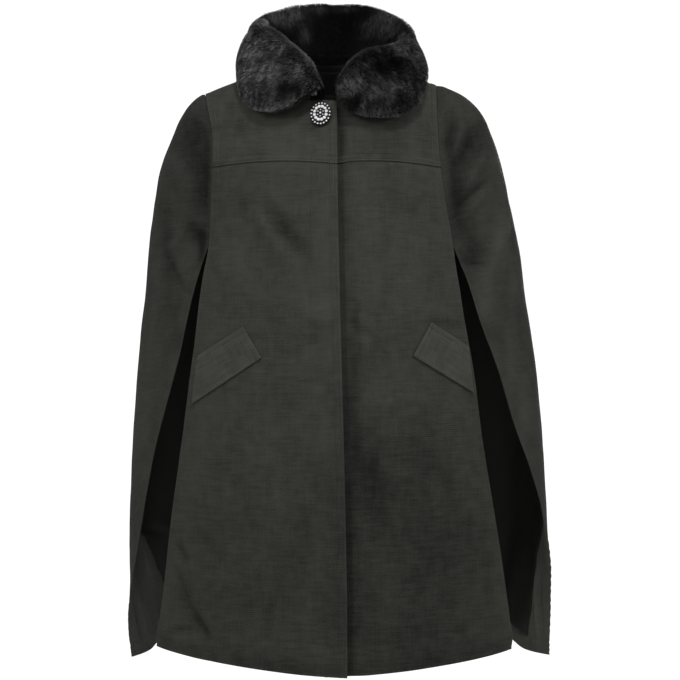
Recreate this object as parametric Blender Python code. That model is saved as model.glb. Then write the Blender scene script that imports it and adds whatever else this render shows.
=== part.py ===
"""Cape coat of brushed wool with a turned-down fur collar, two long arm slits, pocket welts and a jewelled
button, filled out as if worn. Metres, +Z up, the front faces -Y and +X is the wearer's left."""
import math
from collections import namedtuple

import bmesh
import bpy
import numpy as np

# Cloth, lining and seams
CLOTH = 0.0022
LINING_CLOTH = 0.0010
SEAM = 0.0003
FACING = 0.036
HEM_TURNING = 0.022

# Neck and shoulders: the origin lies between the two high shoulder points
NECK_HALF = 0.068
NECK_DROP = 0.062
NECK_BACK = 0.006
NECK_RISE = 0.051
SHOULDER_SLOPE = 0.38
TIP_REACH = 0.005
TIP_SHARE = 0.14
DOME_FOOT = -0.190
DOME_BEND = 1.8
DOME_ROUND = 0.62

# Seams and edges across the front
YOKE_SEAM = -0.1525
YOKE_ARCH = 0.005
SLIT_TOP = -0.262
FRONT_HEM = -0.8435
FRONT_CORNER = {"right": -0.817, "left": -0.821}
HEM_BEND = 1.25
SIDE_HEM = -0.845
CLOSURE_TOP = 0.007
CLOSURE_HEM = 0.021
UNDERLAP = 0.030
LAP_STEP = CLOTH + 0.0020
LAP_RAMP = 0.034

# Back seam at the hem, slope of the back towards that seam, depth of the arm spaces at the hem
CORE_HEM = 0.190
BACK_FALLOFF = 0.10
ARM_DEPTH_HEM = 0.085
FLARE_DEPTH = {"right": 0.012, "left": 0.020}
FLARE_REACH = 0.30
FLARE_TOP = -0.620

# Half widths of the cape and of the front panels, wearer's right and left, by height
Level = namedtuple("Level", "z right_out left_out right_edge left_edge")
LEVELS = (
    Level(z=-0.028, right_out=0.1480, left_out=0.1480, right_edge=0.1860, left_edge=0.1480),
    Level(z=-0.045, right_out=0.1860, left_out=0.1860, right_edge=0.1800, left_edge=0.1475),
    Level(z=-0.060, right_out=0.2040, left_out=0.2040, right_edge=0.1770, left_edge=0.1470),
    Level(z=-0.075, right_out=0.2145, left_out=0.2145, right_edge=0.1735, left_edge=0.1470),
    Level(z=-0.100, right_out=0.2255, left_out=0.2255, right_edge=0.1680, left_edge=0.1480),
    Level(z=-0.135, right_out=0.2380, left_out=0.2375, right_edge=0.1662, left_edge=0.1490),
    Level(z=-0.190, right_out=0.2505, left_out=0.2505, right_edge=0.1668, left_edge=0.1555),
    Level(z=-0.262, right_out=0.2600, left_out=0.2640, right_edge=0.1710, left_edge=0.1675),
    Level(z=-0.310, right_out=0.2640, left_out=0.2710, right_edge=0.1800, left_edge=0.1755),
    Level(z=-0.365, right_out=0.2697, left_out=0.2790, right_edge=0.1870, left_edge=0.1840),
    Level(z=-0.420, right_out=0.2745, left_out=0.2865, right_edge=0.1940, left_edge=0.1940),
    Level(z=-0.530, right_out=0.2825, left_out=0.2980, right_edge=0.2080, left_edge=0.2090),
    Level(z=-0.640, right_out=0.2880, left_out=0.3055, right_edge=0.2235, left_edge=0.2265),
    Level(z=-0.750, right_out=0.2910, left_out=0.3125, right_edge=0.2360, left_edge=0.2435),
    Level(z=-0.845, right_out=0.2880, left_out=0.3130, right_edge=0.2520, left_edge=0.2560),
)

# Depth of the centre front and centre back, and the share of it left at the front panels' side edges
Depth = namedtuple("Depth", "z front wrap back")
DEPTHS = (
    Depth(z=-0.030, front=0.108, wrap=0.60, back=0.100),
    Depth(z=-0.140, front=0.118, wrap=0.58, back=0.118),
    Depth(z=-0.262, front=0.126, wrap=0.56, back=0.130),
    Depth(z=-0.550, front=0.147, wrap=0.47, back=0.148),
    Depth(z=-0.845, front=0.168, wrap=0.36, back=0.168),
)

# How far round each side panel its slit edge has opened, in degrees from straight out at the side
Turn = namedtuple("Turn", "z right left")
TURNS = (
    Turn(z=-0.262, right=-90.0, left=-90.0),
    Turn(z=-0.310, right=-81.0, left=-80.0),
    Turn(z=-0.365, right=-74.0, left=-72.0),
    Turn(z=-0.420, right=-68.0, left=-62.5),
    Turn(z=-0.530, right=-52.0, left=-46.0),
    Turn(z=-0.640, right=-38.0, left=-19.0),
    Turn(z=-0.750, right=-20.0, left=6.0),
    Turn(z=-0.845, right=8.0, left=14.0),
)

# Soft folds: a ridge (rise above 0) or a trough along a line from its top to its foot. Places across are
# metres on the front, shares of the way from slit to back seam on a side panel and shares of the half width
# on the back.
Fold = namedtuple("Fold", "where across_top z_top across_foot z_foot rise width")
FOLDS = (
    Fold("front", -0.060, -0.560, -0.045, -0.960, rise=0.0035, width=0.030),
    Fold("front", 0.085, -0.480, 0.110, -0.960, rise=0.0045, width=0.034),
    Fold("front", -0.215, -0.690, -0.165, -0.860, rise=-0.0045, width=0.016),
    Fold("side_right", 0.46, -0.110, 0.14, -0.285, rise=0.0060, width=0.090),
    Fold("side_right", 0.32, -0.230, 0.20, -0.420, rise=-0.0050, width=0.080),
    Fold("side_right", 0.62, -0.360, 0.55, -1.000, rise=0.0080, width=0.110),
    Fold("side_left", 0.40, -0.090, 0.12, -0.225, rise=0.0060, width=0.080),
    Fold("side_left", 0.48, -0.170, 0.16, -0.300, rise=-0.0055, width=0.080),
    Fold("side_left", 0.66, -0.360, 0.60, -1.000, rise=0.0080, width=0.110),
    Fold("back", -0.62, -0.300, -0.70, -1.050, rise=0.0090, width=0.170),
    Fold("back", -0.16, -0.360, -0.22, -1.050, rise=0.0100, width=0.190),
    Fold("back", 0.20, -0.320, 0.30, -1.050, rise=0.0090, width=0.180),
    Fold("back", 0.60, -0.300, 0.74, -1.050, rise=0.0085, width=0.160),
)

# Collar: angle round the neck seam, the roll line, the fall's edge, the roll's radius and the thickness of
# the fur, for each half from its front end to the centre back
Station = namedtuple("Station", "angle roll_x roll_y roll_z edge_x edge_y edge_z bend thick")
CENTRE_BACK = Station(180.0, 0.0, 0.080, 0.094, 0.0, 0.112, -0.004, bend=0.0095, thick=0.014)
COLLAR = {
    "right": (
        Station(11.0, 0.018, -0.099, -0.042, 0.028, -0.1075, -0.053, bend=0.0055, thick=0.010),
        Station(24.0, 0.032, -0.095, -0.018, 0.053, -0.106, -0.070, bend=0.0080, thick=0.013),
        Station(44.0, 0.055, -0.079, 0.010, 0.092, -0.092, -0.077, bend=0.0095, thick=0.014),
        Station(66.0, 0.081, -0.047, 0.034, 0.121, -0.064, -0.058, bend=0.0095, thick=0.014),
        Station(92.0, 0.104, -0.008, 0.052, 0.131, -0.008, -0.012, bend=0.0095, thick=0.014),
        Station(120.0, 0.098, 0.038, 0.070, 0.118, 0.056, -0.010, bend=0.0095, thick=0.014),
        Station(150.0, 0.058, 0.070, 0.088, 0.070, 0.100, -0.006, bend=0.0095, thick=0.014),
        CENTRE_BACK,
    ),
    "left": (
        Station(5.0, 0.005, -0.100, -0.040, 0.010, -0.1075, -0.073, bend=0.0055, thick=0.010),
        Station(18.0, 0.021, -0.096, -0.020, 0.032, -0.106, -0.081, bend=0.0080, thick=0.013),
        Station(40.0, 0.047, -0.082, 0.001, 0.076, -0.097, -0.086, bend=0.0095, thick=0.014),
        Station(66.0, 0.081, -0.048, 0.015, 0.118, -0.067, -0.064, bend=0.0095, thick=0.014),
        Station(92.0, 0.105, -0.008, 0.031, 0.131, -0.008, -0.012, bend=0.0095, thick=0.014),
        Station(120.0, 0.099, 0.038, 0.064, 0.118, 0.056, -0.010, bend=0.0095, thick=0.014),
        Station(150.0, 0.059, 0.070, 0.088, 0.070, 0.100, -0.006, bend=0.0095, thick=0.014),
        CENTRE_BACK,
    ),
}
STAND_THICK = 0.007
COLLAR_LIFT = 0.0012
FALL_BULGE = 0.09

# Pocket welts: corners on the front panels as (x, z)
Welt = namedtuple("Welt", "top_inner low_inner low_outer top_outer")
WELTS = {
    "right": Welt(top_inner=(-0.1204, -0.3743), low_inner=(-0.0949, -0.4164),
                  low_outer=(-0.1920, -0.4810), top_outer=(-0.1840, -0.4140)),
    "left": Welt(top_inner=(0.1352, -0.3681), low_inner=(0.1096, -0.4138),
                 low_outer=(0.1940, -0.4650), top_outer=(0.1870, -0.4010)),
}
WELT_CLOTH = 0.0026
WELT_LIFT = 0.0005

# Button: oval domed base and a lobed setting, each turned through rings of (share of the half size, height
# above the cloth, height of the lobes)
BUTTON_X = -0.015
BUTTON_Z = -0.0835
BUTTON_HALF_WIDTH = 0.0144
BUTTON_HALF_HEIGHT = 0.0178
BUTTON_STONES = 12
Turned = namedtuple("Turned", "reach height lobe")
BUTTON_BASE = (
    Turned(reach=0.28, height=0.0007, lobe=0.0),
    Turned(reach=0.28, height=0.0022, lobe=0.0),
    Turned(reach=0.96, height=0.0022, lobe=0.0),
    Turned(reach=1.00, height=0.0032, lobe=0.0),
    Turned(reach=0.92, height=0.0048, lobe=0.0),
    Turned(reach=0.60, height=0.0062, lobe=0.0),
    Turned(reach=0.30, height=0.0067, lobe=0.0),
)
BUTTON_RING = (
    Turned(reach=0.46, height=0.0069, lobe=0.0),
    Turned(reach=0.80, height=0.0059, lobe=0.0),
    Turned(reach=0.84, height=0.0070, lobe=0.0006),
    Turned(reach=0.66, height=0.0081, lobe=0.0016),
    Turned(reach=0.48, height=0.0079, lobe=0.0008),
)

SIGN = {"right": -1.0, "left": 1.0}
YOKE_ROWS = (0.0, 0.014, 0.055, 0.13, 0.25, 0.42, 0.62, 0.82, 1.0)
SLIT_DROP = SLIT_TOP - SIDE_HEM
SLIT_ROWS = (0.028, 0.075, 0.14, 0.22, 0.30, 0.39, 0.48, 0.57, 0.66, 0.75, 0.84)
SLIT_ROWS += (1.0 - HEM_TURNING / SLIT_DROP, 1.0)
FRONT_COLUMNS = 14
NECK_COLUMNS = 8
SIDE_COLUMNS = 12
BACK_COLUMNS = 18
BACK_NECK_COLUMNS = 6
LINING_TOP_ROW = 5
LINING_END_ROW = {"right": -2, "left": -1}


def hermite(places, values, slopes, place):
    """Cubic through values with given slopes, held level beyond the ends."""
    k = int(np.clip(np.searchsorted(places, place) - 1, 0, len(places) - 2))
    span = places[k + 1] - places[k]
    t = min(max((place - places[k]) / span, 0.0), 1.0)
    start = (1.0 + 2.0 * t) * (1.0 - t) ** 2 * values[k] + t * (1.0 - t) ** 2 * span * slopes[k]
    end = t * t * (3.0 - 2.0 * t) * values[k + 1] - t * t * (1.0 - t) * span * slopes[k + 1]
    return start + end


def column(rows, name):
    """Smooth function of height through one column of a table."""
    heights = np.array([row.z for row in rows])[::-1]
    values = np.array([getattr(row, name) for row in rows])[::-1]
    slopes = np.gradient(values, heights)
    return lambda z: hermite(heights, values, slopes, z)


OUT = {side: column(LEVELS, side + "_out") for side in SIGN}
EDGE = {side: column(LEVELS, side + "_edge") for side in SIGN}
TURN = {side: column(TURNS, side) for side in SIGN}
FRONT_DEPTH = column(DEPTHS, "front")
WRAP = column(DEPTHS, "wrap")
BACK_DEPTH = column(DEPTHS, "back")


def blend(low, high, value):
    """Smooth step from 0 at low to 1 at high."""
    t = min(max((value - low) / (high - low), 0.0), 1.0)
    return t * t * (3.0 - 2.0 * t)


def folds(where, across, z):
    """Height of the soft folds at a place on one panel."""
    total = 0.0
    for fold in FOLDS:
        if fold.where != where:
            continue
        along = (z - fold.z_top) / (fold.z_foot - fold.z_top)
        if not 0.0 < along < 1.0:
            continue
        middle = fold.across_top + along * (fold.across_foot - fold.across_top)
        fade = math.sin(math.pi * along) ** 2
        total += fold.rise * fade * math.exp(-(((across - middle) / fold.width) ** 2))
    return total


def shoulder_z(x):
    """Height of the shoulder line, which climbs more steeply inside the neck."""
    inside = max(NECK_HALF - abs(x), 0.0) / NECK_HALF
    return SHOULDER_SLOPE * (NECK_HALF - abs(x)) + inside * (NECK_RISE - SHOULDER_SLOPE * NECK_HALF)


def dome(x, z):
    """Share of the depth left as the body rounds over to the shoulder line."""
    t = (z - DOME_FOOT) / (shoulder_z(x) - DOME_FOOT)
    t = min(max(t, 0.0), 1.0)
    return (1.0 - t ** DOME_BEND) ** DOME_ROUND


def front_y(x, z):
    """Outer face of the front, an ellipse in plan that reaches each side edge with its share of the depth."""
    wrap = WRAP(z)
    half = EDGE["left" if x > 0.0 else "right"](z) / math.sqrt(1.0 - wrap * wrap)
    bow = math.sqrt(max(1.0 - (x / half) ** 2, 0.0))
    return -FRONT_DEPTH(z) * bow * dome(x, z) - folds("front", x, z) - SEAM / 2.0


def core_x(side, z):
    """Half width of the back, where the side panel is joined to it."""
    if z >= SLIT_TOP:
        return EDGE[side](z)
    share = (SLIT_TOP - z) / (SLIT_TOP - SIDE_HEM)
    top = EDGE[side](SLIT_TOP)
    return top + share * (CORE_HEM - top)


def back_y(x, z):
    """Outer face of the back, nearly flat across and rounding over to the shoulder line."""
    share = x / core_x("left" if x > 0.0 else "right", z)
    level = BACK_DEPTH(z) * (1.0 - BACK_FALLOFF * share * share) * dome(x, z)
    return level + folds("back", share, z) * (1.0 - share ** 4) + SEAM / 2.0


def side_point(side, z, share):
    """Outer face of a side panel: share runs from its front edge round the arm to the back seam."""
    sign = SIGN[side]
    core = core_x(side, z)
    edge_depth = -front_y(sign * core, z)
    turn = -90.0
    if z < SLIT_TOP:
        turn = TURN[side](z)
        down = (SLIT_TOP - z) / (SLIT_TOP - SIDE_HEM)
        top_depth = -front_y(sign * core_x(side, SLIT_TOP), SLIT_TOP)
        edge_depth = top_depth + down * (ARM_DEPTH_HEM - top_depth)
    around = math.radians(turn + (90.0 - turn) * share)
    flare = FLARE_DEPTH[side] * blend(FLARE_TOP, SIDE_HEM, z)
    reach = max(OUT[side](z) - core, TIP_REACH) / math.cos(math.radians(max(turn, 0.0))) - flare
    flare *= max(1.0 - share / FLARE_REACH, 0.0) ** 2
    depth = edge_depth if around < 0.0 else back_y(sign * core, z)
    lift = folds("side_" + side, share, z) * math.sin(math.pi * share)
    x = core + SEAM / 2.0 + (reach + lift + flare) * math.cos(around)
    return sign * x, (depth + lift) * math.sin(around), z


def neck_z(x):
    """Height of the front neckline."""
    return -NECK_DROP * math.sqrt(max(1.0 - (x / NECK_HALF) ** 2, 0.0))


def yoke_seam_z(share):
    """Height of the yoke seam, arched between the closure and the side edge."""
    return YOKE_SEAM + YOKE_ARCH * math.sin(math.pi * share)


def closure_x(side, z):
    """Centre edge of a front: the right one laps over, the left one runs on beneath it."""
    share = blend(-NECK_DROP, FRONT_HEM, z)
    lap = CLOSURE_TOP + share * (CLOSURE_HEM - CLOSURE_TOP)
    return lap if side == "right" else lap - UNDERLAP


def front_point(side, x, z):
    """A point on one front: the left one steps back where the right one laps over it."""
    y = front_y(x, z)
    if side == "left":
        lap = closure_x("right", z)
        y += LAP_STEP * (1.0 - blend(lap + 0.003, lap + LAP_RAMP, x))
    return x, y, z


def shoulder_point_x(side):
    """Where the side seam crosses the shoulder line."""
    x = 0.16
    for _ in range(12):
        x = EDGE[side](shoulder_z(x))
    return x


def front_x(side, share, z):
    """Place across a front, from its centre edge to its side edge."""
    start = closure_x(side, z)
    end = SIGN[side] * (EDGE[side](z) - SEAM / 2.0)
    return start + (end - start) * share


def yoke_grid(side):
    """Outer face of a yoke, from the neckline and shoulder seam down to the yoke seam."""
    sign = SIGN[side]
    start = math.asin(sign * closure_x(side, -NECK_DROP) / NECK_HALF)
    tip = shoulder_point_x(side)
    grid = []
    for v in YOKE_ROWS:
        row = []
        for j in range(FRONT_COLUMNS + 1):
            share = j / FRONT_COLUMNS
            if j <= NECK_COLUMNS:
                angle = start + (math.pi / 2.0 - start) * j / NECK_COLUMNS
                top_x = NECK_HALF * math.sin(angle)
                top_z = neck_z(top_x)
            else:
                out = (j - NECK_COLUMNS) / (FRONT_COLUMNS - NECK_COLUMNS)
                top_x = NECK_HALF + out * (tip - NECK_HALF)
                top_z = shoulder_z(top_x)
            z = top_z + v * (yoke_seam_z(share) + SEAM / 2.0 - top_z)
            low_x = front_x(side, share, YOKE_SEAM)
            x = sign * top_x + v * (low_x - sign * top_x)
            straight = tip + v * (EDGE[side](YOKE_SEAM) - tip)
            x += sign * share ** 4 * (EDGE[side](z) - SEAM / 2.0 - straight)
            row.append(front_point(side, x, z))
        grid.append(row)
    return np.array(grid)


def front_rows(side):
    """Shares of the way from the yoke seam to the hem, one of them at the top of the slit."""
    slit = (YOKE_SEAM - SLIT_TOP) / (YOKE_SEAM - FRONT_CORNER[side])
    upper = [slit * k / 3.0 for k in range(4)]
    lower = [slit + (1.0 - slit) * k / 13.0 for k in range(1, 14)]
    return upper + lower


def front_grid(side):
    """Outer face of a front below the yoke seam."""
    grid = []
    for v in front_rows(side):
        row = []
        for j in range(FRONT_COLUMNS + 1):
            share = j / FRONT_COLUMNS
            top = yoke_seam_z(share) - SEAM / 2.0
            hem = FRONT_HEM + (FRONT_CORNER[side] - FRONT_HEM) * share ** HEM_BEND
            z = top + v * (hem - top)
            row.append(front_point(side, front_x(side, share, z), z))
        grid.append(row)
    return np.array(grid)


def seam_levels(side):
    """Heights shared along the side seams: shoulder to yoke seam, to the slit top, then to the hem."""
    tip = shoulder_z(shoulder_point_x(side))
    levels = [tip + v * (YOKE_SEAM - tip) for v in YOKE_ROWS]
    levels += [YOKE_SEAM + v * (SLIT_TOP - YOKE_SEAM) for v in (1.0 / 3.0, 2.0 / 3.0, 1.0)]
    levels += [SLIT_TOP + v * (SIDE_HEM - SLIT_TOP) for v in SLIT_ROWS]
    return levels


def side_shares(side, z):
    """Places round a side panel: two strips of facing width, then even steps to the back seam."""
    turn = TURN[side](z) if z < SLIT_TOP else -90.0
    core = core_x(side, z)
    radius = 0.5 * (OUT[side](z) - core + back_y(SIGN[side] * core, z))
    facing = min(FACING / (radius * math.radians(90.0 - turn)), 0.3)
    rest = [facing + (1.0 - facing) * k / (SIDE_COLUMNS - 2) for k in range(1, SIDE_COLUMNS - 1)]
    return [0.0, 0.5 * facing, facing] + rest


def side_grid(side):
    """Outer face of a side panel from just below the shoulder to the hem."""
    levels = seam_levels(side)
    grid = [[side_point(side, z, share) for share in side_shares(side, z)] for z in levels[1:]]
    tip = np.array([SIGN[side] * (shoulder_point_x(side) + SEAM / 2.0), 0.0, levels[0]])
    crown = [tip + TIP_SHARE * (np.array(point) - tip) for point in grid[0]]
    return np.array([crown] + grid)


def back_grid():
    """Outer face of the back, from the wearer's right to the left."""
    half = BACK_COLUMNS // 2
    rows = len(seam_levels("right"))
    grid = []
    for k in range(rows):
        row = []
        for j in range(BACK_COLUMNS + 1):
            side = "right" if j < half else "left"
            step = abs(j - half)
            share = step / half
            level = seam_levels(side)[k]
            z = level
            if k < len(YOKE_ROWS):
                if step <= BACK_NECK_COLUMNS:
                    angle = math.pi / 2.0 * step / BACK_NECK_COLUMNS
                    top_x = NECK_HALF * math.sin(angle)
                    top_z = NECK_BACK * math.cos(angle)
                else:
                    out = (step - BACK_NECK_COLUMNS) / (half - BACK_NECK_COLUMNS)
                    top_x = NECK_HALF + out * (shoulder_point_x(side) - NECK_HALF)
                    top_z = shoulder_z(top_x)
                v = YOKE_ROWS[k]
                z = top_z + v * (YOKE_SEAM - top_z)
                edge = core_x(side, z if share == 1.0 else level)
                x = top_x + blend(0.0, 1.0, v) * (share * edge - top_x)
                if share == 1.0:
                    x = edge
            else:
                x = share * core_x(side, z)
            x -= SEAM / 2.0 if share == 1.0 else 0.0
            row.append((SIGN[side] * x, back_y(SIGN[side] * x, z), z))
        grid.append(row)
    return np.array(grid)


def grid_normals(grid, outward):
    """Unit normals of a grid of points, turned to the side that a rough outward direction names."""
    across = np.gradient(grid, axis=1)
    down = np.gradient(grid, axis=0)
    normals = np.cross(across, down)
    normals /= np.linalg.norm(normals, axis=2, keepdims=True)
    middle = normals[grid.shape[0] // 2, grid.shape[1] // 2]
    return normals if np.dot(middle, outward) > 0.0 else -normals


def share_normals(first, second):
    """Give two facing rows of normals their mean, so that both walls are mitred along the seam."""
    mean = first + second
    mean /= np.linalg.norm(mean, axis=-1, keepdims=True)
    first[...] = mean
    second[...] = mean


def material(name, colour, roughness):
    """Plain surface for one sub-part."""
    made = bpy.data.materials.new(name)
    made.use_nodes = True
    shader = made.node_tree.nodes["Principled BSDF"]
    shader.inputs["Base Color"].default_value = (*colour, 1.0)
    shader.inputs["Roughness"].default_value = roughness
    return made


def add_mesh(name, points, faces, surface):
    """One closed solid from points and faces, with its faces turned outward."""
    mesh = bpy.data.meshes.new(name)
    mesh.from_pydata([tuple(map(float, point)) for point in points], [], faces)
    work = bmesh.new()
    work.from_mesh(mesh)
    bmesh.ops.recalc_face_normals(work, faces=work.faces)
    bmesh.ops.triangulate(work, faces=work.faces)
    work.to_mesh(mesh)
    work.free()
    mesh.materials.append(surface)
    solid = bpy.data.objects.new(name, mesh)
    bpy.context.scene.collection.objects.link(solid)
    return solid


def add_wall(name, grid, normals, lift, thickness, surface):
    """Closed wall whose outer face is a grid of points moved out by lift."""
    rows, columns = grid.shape[:2]
    outer = (grid + normals * lift).reshape(-1, 3)
    inner = (grid + normals * (lift - thickness)).reshape(-1, 3)
    count = rows * columns
    faces = []
    for i in range(rows - 1):
        for j in range(columns - 1):
            a = i * columns + j
            quad = (a, a + 1, a + columns + 1, a + columns)
            faces.append(quad)
            faces.append(tuple(count + k for k in reversed(quad)))
    rim = [j for j in range(columns)]
    rim += [i * columns + columns - 1 for i in range(1, rows)]
    rim += [(rows - 1) * columns + j for j in range(columns - 2, -1, -1)]
    rim += [i * columns for i in range(rows - 2, 0, -1)]
    for a, b in zip(rim, rim[1:] + rim[:1]):
        faces.append((a, count + a, count + b, b))
    return add_mesh(name, np.vstack([outer, inner]), faces, surface)


def collar_column(side, name):
    """Smooth function of the angle round the neck through one column of the collar table."""
    angles = np.array([station.angle for station in COLLAR[side]])
    values = np.array([getattr(station, name) for station in COLLAR[side]])
    slopes = np.gradient(values, angles)
    if not name.endswith("_x"):
        slopes[-1] = 0.0
    return lambda angle: hermite(angles, values, slopes, angle)


def collar_section(side, angle, tracks):
    """Closed outline of the folded collar at one angle round the neck."""
    sign = SIGN[side]
    here = {name: track(angle) for name, track in tracks.items()}
    seam_x = sign * NECK_HALF * math.sin(math.radians(angle))
    if angle <= 90.0:
        seam_z = neck_z(seam_x)
        seam_y = front_y(seam_x, seam_z)
    else:
        seam_z = -NECK_BACK * math.cos(math.radians(angle))
        seam_y = back_y(seam_x, seam_z)
    seam = np.array([seam_x, seam_y, seam_z + COLLAR_LIFT])
    roll = np.array([sign * here["roll_x"], here["roll_y"], here["roll_z"]])
    edge = np.array([sign * here["edge_x"], here["edge_y"], here["edge_z"]])
    bend = here["bend"]
    up = np.array([0.0, 0.0, 1.0])
    out = edge - seam
    out[2] = 0.0
    out /= np.linalg.norm(out)
    centre = roll - up * bend
    stand_top = centre - out * bend
    fall_top = centre + out * bend
    path = [seam + (stand_top - seam) * t for t in (0.0, 0.35, 0.7)]
    for step in range(5):
        turn = math.pi * step / 4.0
        path.append(centre + bend * (math.sin(turn) * up - math.cos(turn) * out))
    bulge = FALL_BULGE * np.linalg.norm(edge - fall_top)
    for t in (0.28, 0.55, 0.8, 1.0):
        path.append(fall_top + (edge - fall_top) * t + bulge * math.sin(math.pi * t) * out)
    path = np.array(path)
    ahead = np.gradient(path, axis=0)
    flat = np.stack([ahead @ out, ahead @ up], axis=1)
    flat /= np.linalg.norm(flat, axis=1, keepdims=True)
    flat[0] = (0.0, 1.0)
    normal = -flat[:, 1:2] * out + flat[:, 0:1] * up
    half = np.full(len(path), here["thick"] / 2.0)
    half[0] = STAND_THICK / 2.0
    half[1] = 0.5 * (half[0] + half[2])
    half[-1] *= 0.62
    seen = path + normal * half[:, None]
    hidden = path - normal * half[:, None]
    tip = edge + (flat[-1, 0] * out + flat[-1, 1] * up) * here["thick"] * 0.36
    return np.vstack([seen, tip[None, :], hidden[::-1]])


def add_collar(surface):
    """Fur collar folded over along its roll line, from the right front round the back to the left front."""
    steps = 18
    loops = []
    for side in ("right", "left"):
        tracks = {name: collar_column(side, name) for name in Station._fields[1:]}
        first = COLLAR[side][0].angle
        angles = [first + (180.0 - first) * k / steps for k in range(steps + 1)]
        half = [collar_section(side, angle, tracks) for angle in angles]
        loops += half if side == "right" else half[-2::-1]
    count = len(loops[0])
    faces = []
    for i in range(len(loops) - 1):
        for j in range(count):
            a = i * count + j
            b = i * count + (j + 1) % count
            faces.append((a, b, b + count, a + count))
    half = (count - 1) // 2
    for start in (0, (len(loops) - 1) * count):
        for j in range(half - 1):
            far = count - 1 - j
            faces.append((start + j, start + j + 1, start + far - 1, start + far))
        faces.append((start + half - 1, start + half, start + half + 1))
    return add_mesh("collar", np.vstack(loops), faces, surface)


def add_welt(side, surface):
    """Pocket welt laid on a front panel."""
    corners = WELTS[side]
    across = 9
    down = 5
    grid = []
    for i in range(down + 1):
        row = []
        for j in range(across + 1):
            s = j / across
            t = i / down
            top = np.array(corners.top_inner) * (1.0 - s) + np.array(corners.top_outer) * s
            low = np.array(corners.low_inner) * (1.0 - s) + np.array(corners.low_outer) * s
            x, z = top * (1.0 - t) + low * t
            row.append(front_point(side, x, z))
        grid.append(row)
    grid = np.array(grid)
    normals = grid_normals(grid, (0.0, -1.0, 0.0))
    return add_wall("welt_" + side, grid, normals, WELT_LIFT + WELT_CLOTH, WELT_CLOTH, surface)


def button_frame():
    """Seat of the button on the right yoke with its across, up and outward directions."""
    step = 0.004
    seat = np.array(front_point("right", BUTTON_X, BUTTON_Z))
    across = np.array(front_point("right", BUTTON_X + step, BUTTON_Z)) - seat
    up = np.array(front_point("right", BUTTON_X, BUTTON_Z + step)) - seat
    across /= np.linalg.norm(across)
    out = np.cross(across, up)
    out /= np.linalg.norm(out)
    return seat, across, np.cross(out, across), out


def add_turned(name, profile, segments, lobes, hollow, surface):
    """Oval solid round the button's axis from its rings."""
    seat, across, up, out = button_frame()
    points = []
    for k in range(segments):
        angle = 2.0 * math.pi * k / segments
        wave = 0.5 + 0.5 * math.cos(lobes * angle)
        flat = across * (BUTTON_HALF_WIDTH * math.cos(angle)) + up * (BUTTON_HALF_HEIGHT * math.sin(angle))
        points += [seat + flat * ring.reach + out * (ring.height + ring.lobe * wave) for ring in profile]
    count = len(profile)
    faces = []
    for k in range(segments):
        ahead = ((k + 1) % segments) * count
        for j in range(count if hollow else count - 1):
            after = (j + 1) % count
            faces.append((k * count + j, k * count + after, ahead + after, ahead + j))
    if not hollow:
        faces.append(tuple(k * count for k in range(segments)))
        faces.append(tuple(k * count + count - 1 for k in range(segments)))
    return add_mesh(name, points, faces, surface)


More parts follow.
